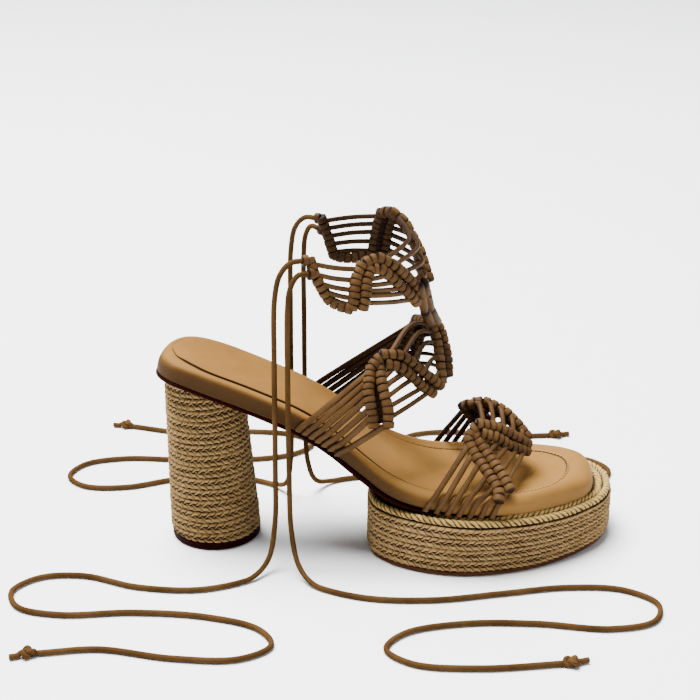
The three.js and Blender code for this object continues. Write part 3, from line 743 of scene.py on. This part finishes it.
plates = {
    "archRing": 900, "foreRing": 360, "liftSides": 120, "liftGirth": 150, "springFrom": 165, "spring": 2.6,
    "arch": [(0.9, 0.06), (0.35, 0.12), (0.1, 0.35), (0.15, 0.6), (0.5, 0.74), (1.6, 0.8)],  # inset, share of thickness
    "fore": [(1.4, 0), (0.9, 0.25), (0.75, 0.9), (0.7, 2.4)],  # inset, height
    "lift": [(23.1, 0), (23.7, 0.35), (23.95, 1.0), (24.0, 2.2), (23.9, 2.35), (24.0, 2.5), (23.95, 4.1),
             (23.6, 4.6)],  # radius, height
}


def floorRise(x):  # toe spring
    tip, start = platformEdge[-1][0], plates["springFrom"]
    return plates["spring"] * np.maximum(0, (np.asarray(x, float) - start) / (tip - start)) ** 2


def archHeight(x, share):
    return underZ(x) + soleThick(x) * share


def foreHeight(x, up):
    return floorRise(x) + up


def buildPlate(name, ring, profile, height, material, nodes):
    rings = []
    for inset, mark in profile:
        level = grown(ring, -inset)
        level[:, 2] = height(level[:, 0], mark)
        rings.append(level)
    rings = np.array(rings)
    count = rings.shape[1]
    bag = newBag()
    addGrid(bag, rings, uvGrid(np.arange(len(rings) + 1), np.arange(count + 1)), caps=False)
    addLid(bag, 0, count)
    addLid(bag, (len(rings) - 1) * count, count)
    return pieceFrom(name, bag, material, nodes)


def buildSoles():
    full = ringOf(footEdge, plates["archRing"])
    keep = [k for k in range(len(full) // 2) if full[k][0] < soleSizes["end"]]
    ring = np.vstack([full[keep], full[[len(full) - 1 - k for k in keep[::-1]]]])[::2]
    if len(ring) % 2:
        ring = ring[:-1]
    buildPlate("leather_arch_sole", grown(ring, soleSizes["flange"]), plates["arch"], archHeight,
               "dark_leather", ["arch_sole"])
    buildPlate("forefoot_sole", ringOf(platformEdge, plates["foreRing"]), plates["fore"], foreHeight,
               "sole_leather", ["platform_sole"])
    angle = circle(plates["liftSides"])
    disc = np.stack([np.cos(angle), np.sin(angle), 0 * angle], 1)
    rings = np.array([disc * radius + (0, 0, z) for radius, z in plates["lift"]])
    bag = newBag()
    around = np.linspace(0, plates["liftGirth"], plates["liftSides"] + 1)
    addGrid(bag, rings, uvGrid(np.arange(len(rings) + 1), around))
    pieceFrom("stacked_heel_lift", bag, "dark_leather", ["heel_lift"])


buildSoles()
print("soles and heel lift built")


# plaited braid on heel and platform

braid = {
    "course": 6.4, "lobe": 3.8, "slant": 33.0, "high": 1.75, "sunk": 1.3,
    "bond": 0.5, "lift": 0.3,  # zigzag of the middle line, and how far it lies over the course's middle
    "waves": (7.3, 13.1, 29.0), "wander": 0.09, "wanderRate": 1.7, "slip": 0.6,
    # painted shade in the gaps between lobes, along the middle line and in the seams between courses; the lobes' own
    # tones differ at random
    "gap": 0.82, "gapScatter": 0.32, "gapDeep": 0.36,
    "centre": (0, 0.2), "centreShade": 0.3, "centreHigh": 0.5,
    "seam": (0.84, 1), "seamLeast": 0.72, "seamRate": 2.3, "seamShade": 0.92, "seamSunk": 0.65,
    "lobeTone": (0.76, 0.3), "lobeHigh": (0.85, 0.25), "edge": 0.1, "least": 0.22,
}


def wobble(x, seed):  # smooth wander along a course
    rng = random.Random(seed)
    total = 0
    for reach in braid["waves"]:
        total = total + np.sin(x / reach + rng.uniform(0, 6.28)) / 3
    return total


def plait(run, place):  # run: mm along the course, place: -1 lower edge to 1 upper edge; gives height, tone (painted shade in the gaps, along the middle line and in the seams, times a random tone of each lobe's own) and weave
    half, lobe, slant = braid["course"] / 2, braid["lobe"], math.radians(braid["slant"])
    place = np.clip(place + braid["wander"] * wobble(run * braid["wanderRate"], 8), -1, 1)
    run = run + braid["slip"] * wobble(run, 3)
    middle = braid["lift"] + braid["bond"] * np.cos(2 * math.pi * run / lobe)
    v = place * half - middle
    upper = v >= 0
    deep = np.clip(np.abs(v) / np.where(upper, half - middle, half + middle), 0, 1)
    slanted = run - np.abs(v) / math.tan(slant) + np.where(upper, 0, lobe / 2)
    index = np.floor(slanted / lobe)
    across = 2 * (slanted / lobe - index) - 1
    scatter = np.sin(index * 12.9898 + np.where(upper, 0, 4.1)) * 43758.5453  # a number of its own for each lobe
    scatter = scatter - np.floor(scatter)
    gap = braid["gap"] - braid["gapScatter"] * scatter - braid["gapDeep"] * deep
    clear = smooth((1 - np.abs(across)) / gap)  # gaps between lobes, widest at the middle
    centre = smooth(partOf(deep, braid["centre"]))
    seam = smooth(partOf(deep, braid["seam"])) * mix(braid["seamLeast"], 1, wobble(run * braid["seamRate"], 21))
    # painted shade in the gaps, the middle line and the seams
    tone = mix(braid["least"] * deep, 1, clear) * mix(braid["centreShade"], 1, centre)
    tone = tone * (1 - braid["seamShade"] * seam) * (braid["lobeTone"][0] + braid["lobeTone"][1] * scatter)
    height = mix(braid["edge"], 1, np.sqrt(1 - across**2)) * mix(braid["centreHigh"], 1, centre)
    height = height * (1 - braid["seamSunk"] * seam) * (braid["lobeHigh"][0] + braid["lobeHigh"][1] * scatter)
    fibres = np.abs(v) / math.sin(slant) + 30 * scatter  # shifted from lobe to lobe, and from half to half
    weave = np.stack([fibres, slanted + np.where(upper, 0, 500)], -1)
    return height, tone, weave


heel = {
    "base": 24.4, "top": 20.8, "topAt": 84.0, "setback": 4.0, "liftTop": 4.9, "reach": 100, "clear": 0.35,
    "columns": 400, "step": 0.4, "turn": 141.0, "topShade": 0.2,
}


def buildHeel():
    columns = heel["columns"]
    z, a = np.meshgrid(np.arange(heel["liftTop"], heel["reach"], heel["step"]), circle(columns), indexing="ij")
    course = (z - heel["liftTop"]) / braid["course"] - a / (2 * math.pi)
    index = np.floor(course)
    run = (a / (2 * math.pi) + index) * heel["turn"]
    height, tone, weave = plait(run, 2 * (course - index) - 1)
    share = z / heel["topAt"]
    radius = mix(heel["base"], heel["top"], share) - braid["sunk"] + braid["high"] * height
    x = radius * np.cos(a) - heel["setback"] * share
    grid = np.stack([x, radius * np.sin(a), z], -1)
    kept = (z < underZ(x) - heel["clear"]).sum(0)  # rows under the sole, column by column
    order = -np.ones(grid.shape[:2], int)
    points, tones, weaves = [], [], []
    for j in range(columns):
        top = kept[j]
        grid[top, j] = grid[top - 1, j]
        grid[top, j, 2] = underZ(grid[top - 1, j, 0]) - heel["clear"]
        for i in range(top + 1):
            order[i, j] = len(points)
            points.append(grid[i, j])
            # the top row, under the sole, is painted with shade
            tones.append(tone[i, j] if i < top else heel["topShade"])
            weaves.append(weave[min(i, top - 1), j])
    faces = []
    for j in range(columns):
        k = (j + 1) % columns
        both = min(kept[j], kept[k])
        for i in range(both):
            faces.append([order[i, j], order[i, k], order[i + 1, k], order[i + 1, j]])
        for i in range(both, max(kept[j], kept[k])):
            if kept[j] > kept[k]:
                faces.append([order[i, j], order[kept[k], k], order[i + 1, j]])
            else:
                faces.append([order[kept[j], j], order[i, k], order[i + 1, k]])
    weaves = np.array(weaves)
    bag = newBag()
    bag["verts"], bag["shade"] = [np.array(points)], [np.array(tones)]
    bag["faces"] = [[int(v) for v in face] for face in faces]
    bag["uv"] = [np.concatenate([weaves[face] for face in faces])]
    addFace(bag, order[0][::-1].tolist())
    addFace(bag, [int(order[kept[j], j]) for j in range(columns)])
    pieceFrom("braided_heel", bag, "heel_jute_braid", ["heel_column"])


platform = {
    "columns": 1100, "rows": 68, "courses": 4, "courseShift": 91.7,
    "wallTop": 28.9, "fall": 3.6, "fallSpan": (110, 186), "soleTop": 2.7,
    "ledge": [(2.2, 0, 0.2), (9.2, 0, 0.12), (9.6, 0.4, 0.12), (9.6, 3.8, 0.2), (10.1, 4.2, 0.2)],  # inset, up, tone, the tone being painted shade
    "ledgePale": 0.34, "paleSpan": (122, 144),  # pale towards the toe, dark with painted shade under the arch
}


def wallTopZ(x):  # the platform's top falls towards the toe
    return platform["wallTop"] - platform["fall"] * partOf(x, platform["fallSpan"])


def buildPlatform():
    count = platform["columns"]
    ring = evenly(ringOf(platformEdge, 1200), count, closed=True)
    run = np.arange(count) * lengthOf(np.vstack([ring, ring[0]])) / count
    x = ring[:, 0]
    outward = unit(grown(ring, 1) - ring)
    core = grown(ring, -braid["sunk"])
    foot = platform["soleTop"] + floorRise(x)
    rows, tones, weaves = [], [], []
    for share in shares(platform["rows"]):
        course = share * platform["courses"] * 0.9999  # the top row stays in the last course
        index = math.floor(course)
        place = np.full(count, 2 * (course - index) - 1)
        height, tone, weave = plait(run + index * platform["courseShift"], place)
        level = core + outward * (braid["high"] * height)[:, None]
        level[:, 2] = mix(foot, wallTopZ(x), share)
        rows.append(level)
        tones.append(tone)
        weaves.append(weave)
    pale = smooth(partOf(x, platform["paleSpan"]))
    for inset, up, tone in platform["ledge"]:
        level = grown(ring, -inset)
        level[:, 2] = wallTopZ(x) + up
        rows.append(level)
        tones.append(mix(tone, platform["ledgePale"], pale))
        weaves.append(np.stack([np.full(count, up), run], -1))
    weave = np.array(weaves)
    uv = np.concatenate([weave, weave[:, :1]], 1)
    uv = np.concatenate([uv, uv[-1:]], 0)
    bag = newBag()
    addGrid(bag, np.array(rows), uv, np.array(tones), caps=False)
    for base in (0, (len(rows) - 1) * count):
        addFace(bag, [base + k for k in range(count)])
    pieceFrom("braided_platform", bag, "platform_jute_braid", ["platform_block"])


buildHeel()
buildPlatform()
print("braid on heel and platform built")


# twisted ropes round the platform's top edge

ropes = {
    "radius": 1.95, "lay": 9.4, "plies": 3, "steps": 1500, "sides": 26, "seat": 0.2,
    "insets": {"rope_outer": 2.1, "rope_inner": 5.0},
    "sway": ((0.35, 23), (0.25, 61)), "core": 0.82, "plump": 0.12, "plumpScatter": 0.06,
    # painted shade in the gaps between strands, lighter on top; the strands' own tones differ at random
    "gapLeast": 0.62, "strandLeast": 0.72,
    # the inner rope goes in under the arch, where it is painted with shade, lies nearer the footbed at the tip, and up
    # against it at the outer toe
    "underSpan": (134, 110), "under": 3.4, "archShadeSpan": (122, 108), "archShadeDepth": 0.8,
    "tipSpan": (184, 198), "tipSide": (-4, 8), "tip": 1.6,
    "leanSpan": (148, 164), "leanSide": (6, -8), "lean": 1.5, "higher": 0.4,
}


def buildRope(name, hand):
    plan = ringOf(platformEdge, 1200)
    inner, inset = hand > 0, ropes["insets"][name]
    under = inner * partOf(plan[:, 0], ropes["underSpan"])
    tip = inner * smooth(partOf(plan[:, 0], ropes["tipSpan"])) * smooth(partOf(plan[:, 1], ropes["tipSide"]))
    inwards = inset + ropes["under"] * under + ropes["tip"] * tip
    path = evenly(mix(plan, grown(plan, -1), inwards[:, None]), ropes["steps"], closed=True)
    leans = smooth(partOf(path[:, 0], ropes["leanSpan"])) * smooth(partOf(path[:, 1], ropes["leanSide"]))
    path[:, 2] = wallTopZ(path[:, 0]) + ropes["seat"] + ropes["radius"]
    path[:, 2] += inner * (ropes["higher"] + ropes["lean"] * leans)
    # painted shade on the inner rope under the arch
    archShade = 1 - ropes["archShadeDepth"] * partOf(path[:, 0], ropes["archShadeSpan"]) * inner
    long = lengthOf(np.vstack([path, path[0]]))
    plies = ropes["plies"]
    turns = round(long / ropes["lay"] * plies) / plies
    run, angle = np.arange(ropes["steps"]) / ropes["steps"], circle(ropes["sides"])
    out, side = framesAlong(path, True, (0, 0, 1))
    r, a = np.meshgrid(run, angle, indexing="ij")
    (slow, slowTurns), (fast, fastTurns) = ropes["sway"]
    sway = slow * np.sin(2 * math.pi * r * slowTurns + inset) + fast * np.sin(2 * math.pi * r * fastTurns)
    phase = plies / 2 * (a + hand * 2 * math.pi * turns * r) + sway
    strand = np.mod(np.floor(phase / math.pi + 0.5), plies)
    scatter = 0.5 + 0.5 * wobble(r * long * 0.7 + 37 * strand, 4)
    ply = np.clip(1.3 * np.abs(np.cos(phase)) ** 0.6 - 0.3, 0, 1)  # round strands, narrow gaps
    radius = ropes["radius"] * (ropes["core"] + (ropes["plump"] + ropes["plumpScatter"] * scatter) * ply)
    below = mix(ropes["gapLeast"], 1, smooth((1 - np.cos(a)) / 1.2))  # painted shade in the gaps, less of it on top where the light falls
    tone = (1 - (1 - ply) * below) * mix(ropes["strandLeast"], 1, scatter)
    grid = path[:, None] + (radius * np.cos(a))[..., None] * out[:, None]
    grid = grid + (radius * np.sin(a))[..., None] * side[:, None]
    r, a = np.meshgrid(np.append(run, 1), np.append(angle, 2 * math.pi), indexing="ij")
    around = a + hand * 2 * math.pi * turns * r
    weave = np.stack([r * long + 0.6 * a * ropes["radius"], around * ropes["radius"]], -1)
    bag = newBag()
    addGrid(bag, grid, weave, tone * archShade[:, None], loop=True)
    pieceFrom("twisted_" + name, bag, "jute_rope", [name])


buildRope("rope_outer", -1)
buildRope("rope_inner", 1)
print("ropes twisted")


# knotted straps

knots = {
    "across": 3.0, "out": 2.75, "around": 20, "girth": 16, "pitch": 3.5, "stopper": 1.7, "stopperLift": 0.6,
    "tilt": 0.14, "sizes": (0.95, 1.05), "tones": (0.8, 1.0), "oval": 0.03, "skew": 0.04, "innerShade": 0.5,
}
knotShape = [  # from the middle of a knot to its end: place, size, tone; the tone paints shade into the grooves between knots
    (0.0, 1.0, 1.0), (0.5, 0.995, 0.93), (0.82, 0.95, 0.56), (0.95, 0.86, 0.13), (1.02, 0.72, 0.04),
    (1.1, 0.45, 0.03), (1.14, 0.15, 0.03),
]
# the edge and inner values are painted shade on each lace's edges and on its side towards the foot
laces = {"wide": 1.3, "thick": 0.95, "sides": 12, "square": 0.72, "edgeShade": 0.24, "innerShade": 0.4, "tone": 0.84}
seatSteps = [  # share of the lean, set back, out of the footbed's edge, measured from, height
    (0.0, 0.6, -1.2, bedBottom, -0.3), (0.0, 0.0, 0.8, bedBottom, 0.9),
    (0.3, 0.0, 1.0, bedBottom, 3.4), (1.0, 0.0, 1.0, bedCrest, -1.4),
]
toeStrap = {
    "centre": lambda p: np.array([p[0], 0, 46.0]),
    "rows": {  # knots in the row, line from top to bottom
        "outer back": (11, [(136.6, -14, 64.6), (139.3, -18.5, 59.2), (143.8, -24.4, 54.7), (148.4, -31.4, 50.4),
            (152.1, -37.6, 46.1), (152.2, -41.2, 43.4)]),
        "outer front": (10, [(141.3, -13, 66.4), (144.6, -17.5, 61), (148.8, -23.3, 56.7), (153.6, -30.6, 52.4),
            (157.5, -37, 47.6)]),
        "outer low": (10, [(144.4, -13.5, 67.8), (150.8, -12.4, 65.4), (156.4, -10.8, 61.2), (162.6, -8, 57),
            (168, -5, 54.2)]),
        "outer high": (10, [(142.2, -11, 72.2), (149.4, -8.8, 70), (155.8, -6.8, 66.8), (162.6, -4.2, 61.8),
            (168.4, -2, 57.3)]),
        "inner high": (10, [(138.8, 12, 73.6), (144.7, 12, 75.2), (150.6, 11, 73.7), (156.5, 9.5, 70.6),
            (162.4, 6.5, 66.2), (168.6, 2.2, 59.9)]),
        "inner low": (10, [(140.6, 17.6, 72.3), (150, 16.6, 69.8), (159.5, 12.8, 64), (168.8, 7, 56.4)]),
        "inner front": (10, [(140.2, 18.6, 70), (147.5, 27, 58.5), (156, 32.6, 47)]),
        "inner back": (10, [(134.4, 17, 70), (141.6, 26, 57.5), (149.6, 31.8, 47)]),
    },
    "seats": {"outer": (115, 149), "inner": (118, 148), "lean": 3.4, "wide": 1.15,
              "ends": [0.06, 0.2, 0.36, 0.54, 0.72, 0.88, 1.0]},
}
instepStrap = {
    "centre": lambda p: np.array([p[0], 0, 60 + 0.2 * p[0]]),
    "rows": {
        "outer back": (10, [(85.3, -20, 105.4), (84.6, -25.6, 99.8), (84.9, -29.6, 94.2), (86.4, -33, 87),
            (87.4, -35, 80.6)]),
        "outer front": (9, [(90.4, -19, 105.2), (91.2, -25, 99.8), (93, -29, 94.4), (94.7, -32, 88.2),
            (95, -35, 80.8)]),
        "outer low": (10, [(94.2, -18, 107.6), (100.6, -16, 104.8), (105.9, -12.6, 99.2), (112.4, -7.9, 91.2),
            (117.3, -4, 86.3)]),
        "outer high": (11, [(91.9, -16, 112), (100.4, -13, 110.4), (107.2, -9.4, 104.4), (114.8, -4.8, 96.2),
            (121, 0, 89)]),
        "inner high": (9, [(115.2, 14, 119), (117.6, 12.6, 114), (119.4, 10.4, 108.6), (121, 6, 99.6),
            (122.3, 2, 90.8)]),
        "inner low": (9, [(118.6, 20, 117.6), (121.4, 18.4, 112.6), (123.6, 15.4, 105.8), (125, 12, 98.6),
            (125.3, 8, 92.4)]),
        "inner front": (10, [(113.8, 22.6, 117.5), (109.2, 31.2, 101.5), (106.8, 35.2, 84.5)]),
        "inner back": (10, [(108, 23.8, 117), (102.6, 32, 100.8), (99.8, 35.2, 83.6)]),
    },
    "seats": {"outer": (48.4, 68.6), "inner": (50, 70), "lean": 5, "wide": 1.3,
              "ends": [0.05, 0.2, 0.36, 0.52, 0.68, 0.84, 0.98]},
}
ankleCuff = {
    "centre": lambda p: np.array([72.0, 0, p[2]]),
    "rows": {
        "outer end": (7, [(55.5, -30, 166.2), (58.4, -32, 158.6), (61.4, -32, 152.2), (64.8, -31.4, 146.9)]),
        "outer back": (8, [(80.5, -25.4, 162.7), (78.3, -28.8, 157.2), (77.6, -31.4, 152), (77.4, -33, 147.6),
            (76.3, -34, 143.6)]),
        "outer front": (7, [(85, -24.4, 160.2), (83.5, -28, 155.4), (83.2, -30, 151.8), (83.2, -31.6, 148.4),
            (82.1, -33, 143.3)]),
        "outer low": (9, [(90.4, -22, 159.8), (95.7, -18.6, 154.3), (100.2, -14.4, 148.3), (103.5, -11.2, 144.3),
            (107.8, -6, 137.6)]),
        "outer high": (10, [(89.4, -20, 164.7), (96, -17, 160.8), (101.4, -12, 154.6), (106.4, -7, 147.8),
            (110.6, -2, 140)]),
        "inner high": (10, [(95.6, 23, 176.2), (101.4, 21, 171.6), (106.2, 17, 161.6), (109.4, 12.4, 152),
            (111.6, 8, 145), (113.2, 3, 138.6)]),
        "inner low": (9, [(96.2, 27.6, 174), (104.8, 24, 164.6), (110.6, 18, 154), (114, 11.4, 145)]),
        "inner front": (8, [(94.6, 29.6, 173.4), (92, 34.2, 163), (90, 35.8, 150.6)]),
        "inner back": (8, [(88.4, 30, 174), (85.8, 34.4, 163), (84, 35.8, 150.2)]),
        "inner end": (7, [(57, 31, 170), (60, 33, 160), (63, 33, 150)]),
    },
}
hems = [  # short rows under the cuff
    (4, [(64.9, -31.4, 146.7), (67.2, -32, 144.9), (70.6, -33, 143.9), (75, -34, 143.2)]),
    (6, [(63.2, 33, 149.7), (66.4, 34, 148), (72, 35, 147.4), (82.4, 35.9, 149)]),
]
links = [  # long wraps from the cuff's point to the instep's
    (2, [(110.8, -1, 138), (112, 3.4, 130.6), (114.6, 11, 121.6)]),
    (2, [(113.4, 3, 137.6), (115, 8.4, 129.8), (118, 16.6, 119.6)]),
]
pairShares = np.linspace(0.05, 0.95, 10)
rowJoins = {  # laces from row to row: where they leave, where they arrive, and how far they bow out
    "pair": (pairShares, pairShares, -0.4),
    "leaf": ([0.22, 0.38, 0.55, 0.72, 0.9], [0.16, 0.36, 0.56, 0.76, 0.94], 0.06),
    "crown": ([0.08, 0.28, 0.48, 0.68, 0.88], [0.05, 0.26, 0.48, 0.7, 0.9], 0.22),
    "cuff": ([0.06, 0.28, 0.5, 0.72, 0.94], [0.08, 0.3, 0.52, 0.74, 0.95], 0.09),
}


def rowPoint(row, t):
    return spline(row[1], [t])[0]


def seatPath(seat, side, t):  # out of the seam under the footbed and up its wall
    low, high = seat["outer" if side < 0 else "inner"]
    points = []
    for lean, back, out, level, up in seatSteps:
        x = mix(low, high, t) + seat["lean"] * lean
        points.append(np.array([x - back, edgeY(side, x) + side * out, level(x) + up]))
    return points


def addLace(bag, points, centre, count, tone=1.0, wide=1.0):
    path = spline(points, shares(count))
    away = np.array([unit(p - centre(p)) for p in path])
    addTube(bag, path, laces["wide"] * wide, laces["thick"], laces["sides"], up=away, square=laces["square"],
            edgeShade=laces["edgeShade"], innerShade=laces["innerShade"])
    bag["shade"][-1] = bag["shade"][-1] * tone * laces["tone"]


def addKnot(bag, centre, axis, across, half, seed):
    rng = random.Random(seed)
    out = np.cross(axis, across)
    angle = circle(knots["around"])
    tilt = rng.uniform(-knots["tilt"], knots["tilt"])
    size = rng.uniform(*knots["sizes"])
    pull = rng.uniform(0, 6.28)
    tone = rng.uniform(*knots["tones"])
    profile = [(-p, r, t) for p, r, t in knotShape[:0:-1]] + knotShape
    # painted shade on the half of each knot turned in towards the foot
    inwardShade = 1 - knots["innerShade"] * np.clip(1.5 * np.sin(angle), 0, 1)
    rings, tones = [], []
    for place, share, shade in profile:
        radius = size * share * (1 + knots["oval"] * np.cos(2 * angle + pull))
        wide = (knots["across"] * radius * np.cos(angle))[:, None] * across
        deep = (knots["out"] * radius * np.sin(angle))[:, None] * out
        slide = half * place * (1 + knots["skew"] * np.cos(angle + pull)) + tilt * np.cos(angle) * half
        rings.append(centre + wide + deep + slide[:, None] * axis)
        tones.append(inwardShade * tone * shade)
    along = np.array([mark[0] * half for mark in profile] + [half])
    uv = uvGrid(along, np.linspace(0, knots["girth"], knots["around"] + 1))
    addGrid(bag, np.array(rings), uv, np.array(tones))


def addKnots(bag, line, spaces, places, centre, seed):
    half = lengthOf(line) / spaces / 2
    marks = evenly(line, spaces * 8 + 1)
    for i in places:
        spot = marks[i * 8]
        axis = unit(marks[min(i * 8 + 3, spaces * 8)] - marks[max(i * 8 - 3, 0)])
        across = unit(np.cross(axis, unit(spot - centre(spot))))
        addKnot(bag, spot, axis, across, half, seed + i)


def addRow(bag, row, centre, seed):
    count, line = row
    addKnots(bag, spline(line, shares(240)), count - 1, range(count), centre, seed * 100)


def addTurn(bag, line, centre, seed):  # knots that carry a row round its arch
    fine = spline(line, shares(60))
    spaces = max(1, round(lengthOf(fine) / knots["pitch"]))
    addKnots(bag, fine, spaces, range(1, spaces), centre, seed)


def addJoin(bag, a, b, kind, centre):
    leave, arrive, bow = rowJoins[kind]
    for s, t in zip(leave, arrive):
        p, q = rowPoint(a, s), rowPoint(b, t)
        middle = (p + q) / 2
        away = unit(middle - centre(middle))
        middle = middle + away * bow * np.linalg.norm(q - p)
        if kind == "pair":  # tucked deep between two rows, and painted dark as shade
            addLace(bag, [p, middle, q], centre, 5, 0.15, 1.15)
        else:
            addLace(bag, [p, middle, q], centre, 13, 0.9)


def addSeats(bag, strap, side):  # laces from the footbed's edge to the rows
    seats = strap["seats"]
    ends = seats["ends"]
    for i, end in enumerate(ends):
        row = strap["rows"][side + (" front" if i == len(ends) - 1 else " back")]
        path = seatPath(seats, -1 if side == "outer" else 1, i / (len(ends) - 1))
        addLace(bag, path + [rowPoint(row, end)], strap["centre"], 40, 1.0, seats["wide"])


def addStrap(bag, strap, seed):
    rows, centre = strap["rows"], strap["centre"]
    for k, row in enumerate(rows.values()):
        addRow(bag, row, centre, seed * 20 + k)
    for side in ("outer", "inner"):
        for a, b, kind in ((" back", " front", "pair"), (" front", " low", "leaf"), (" low", " high", "pair")):
            addJoin(bag, rows[side + a], rows[side + b], kind, centre)
        for a, b in ((" back", " high"), (" front", " low")):  # carrier lace turning over the arch
            rowA, rowB = rows[side + a], rows[side + b]
            p, q = rowPoint(rowA, 0), rowPoint(rowB, 0)
            bend = (p + q) / 2 + unit(p - rowPoint(rowA, 0.2)) * 0.1 * np.linalg.norm(q - p)
            addLace(bag, [rowPoint(rowA, 0.06), p, bend, q, rowPoint(rowB, 0.06)], centre, 24)
            addTurn(bag, [p, bend, q], centre, seed * 50 + len(b))
        if "seats" in strap:
            addSeats(bag, strap, side)
        else:
            addJoin(bag, rows[side + " end"], rows[side + " back"], "cuff", centre)
    addJoin(bag, rows["outer high"], rows["inner high"], "crown", centre)


def buildStraps():
    toe = newBag()
    addStrap(toe, toeStrap, 1)
    pieceFrom("knotted_toe_strap", toe, "cord_leather", ["toe_strap"])
    upper = newBag()
    addStrap(upper, instepStrap, 2)
    addStrap(upper, ankleCuff, 3)
    centre = ankleCuff["centre"]
    for k, row in enumerate(hems + links):
        addRow(upper, row, centre, 90 + k)
    for k, route in enumerate(ties["routes"].values()):  # stopper knots where the ties leave the cuff
        start, axis = np.array(route[0]), unit(np.array(route[0]) - np.array(route[1]))
        across = unit(np.cross(axis, unit(start - centre(start))))
        addKnot(upper, start + axis * knots["stopperLift"], axis, across, knots["stopper"], 130 + k)
    pieceFrom("knotted_ankle_upper", upper, "cord_leather", ["ankle_upper"])


buildStraps()
print("straps knotted")
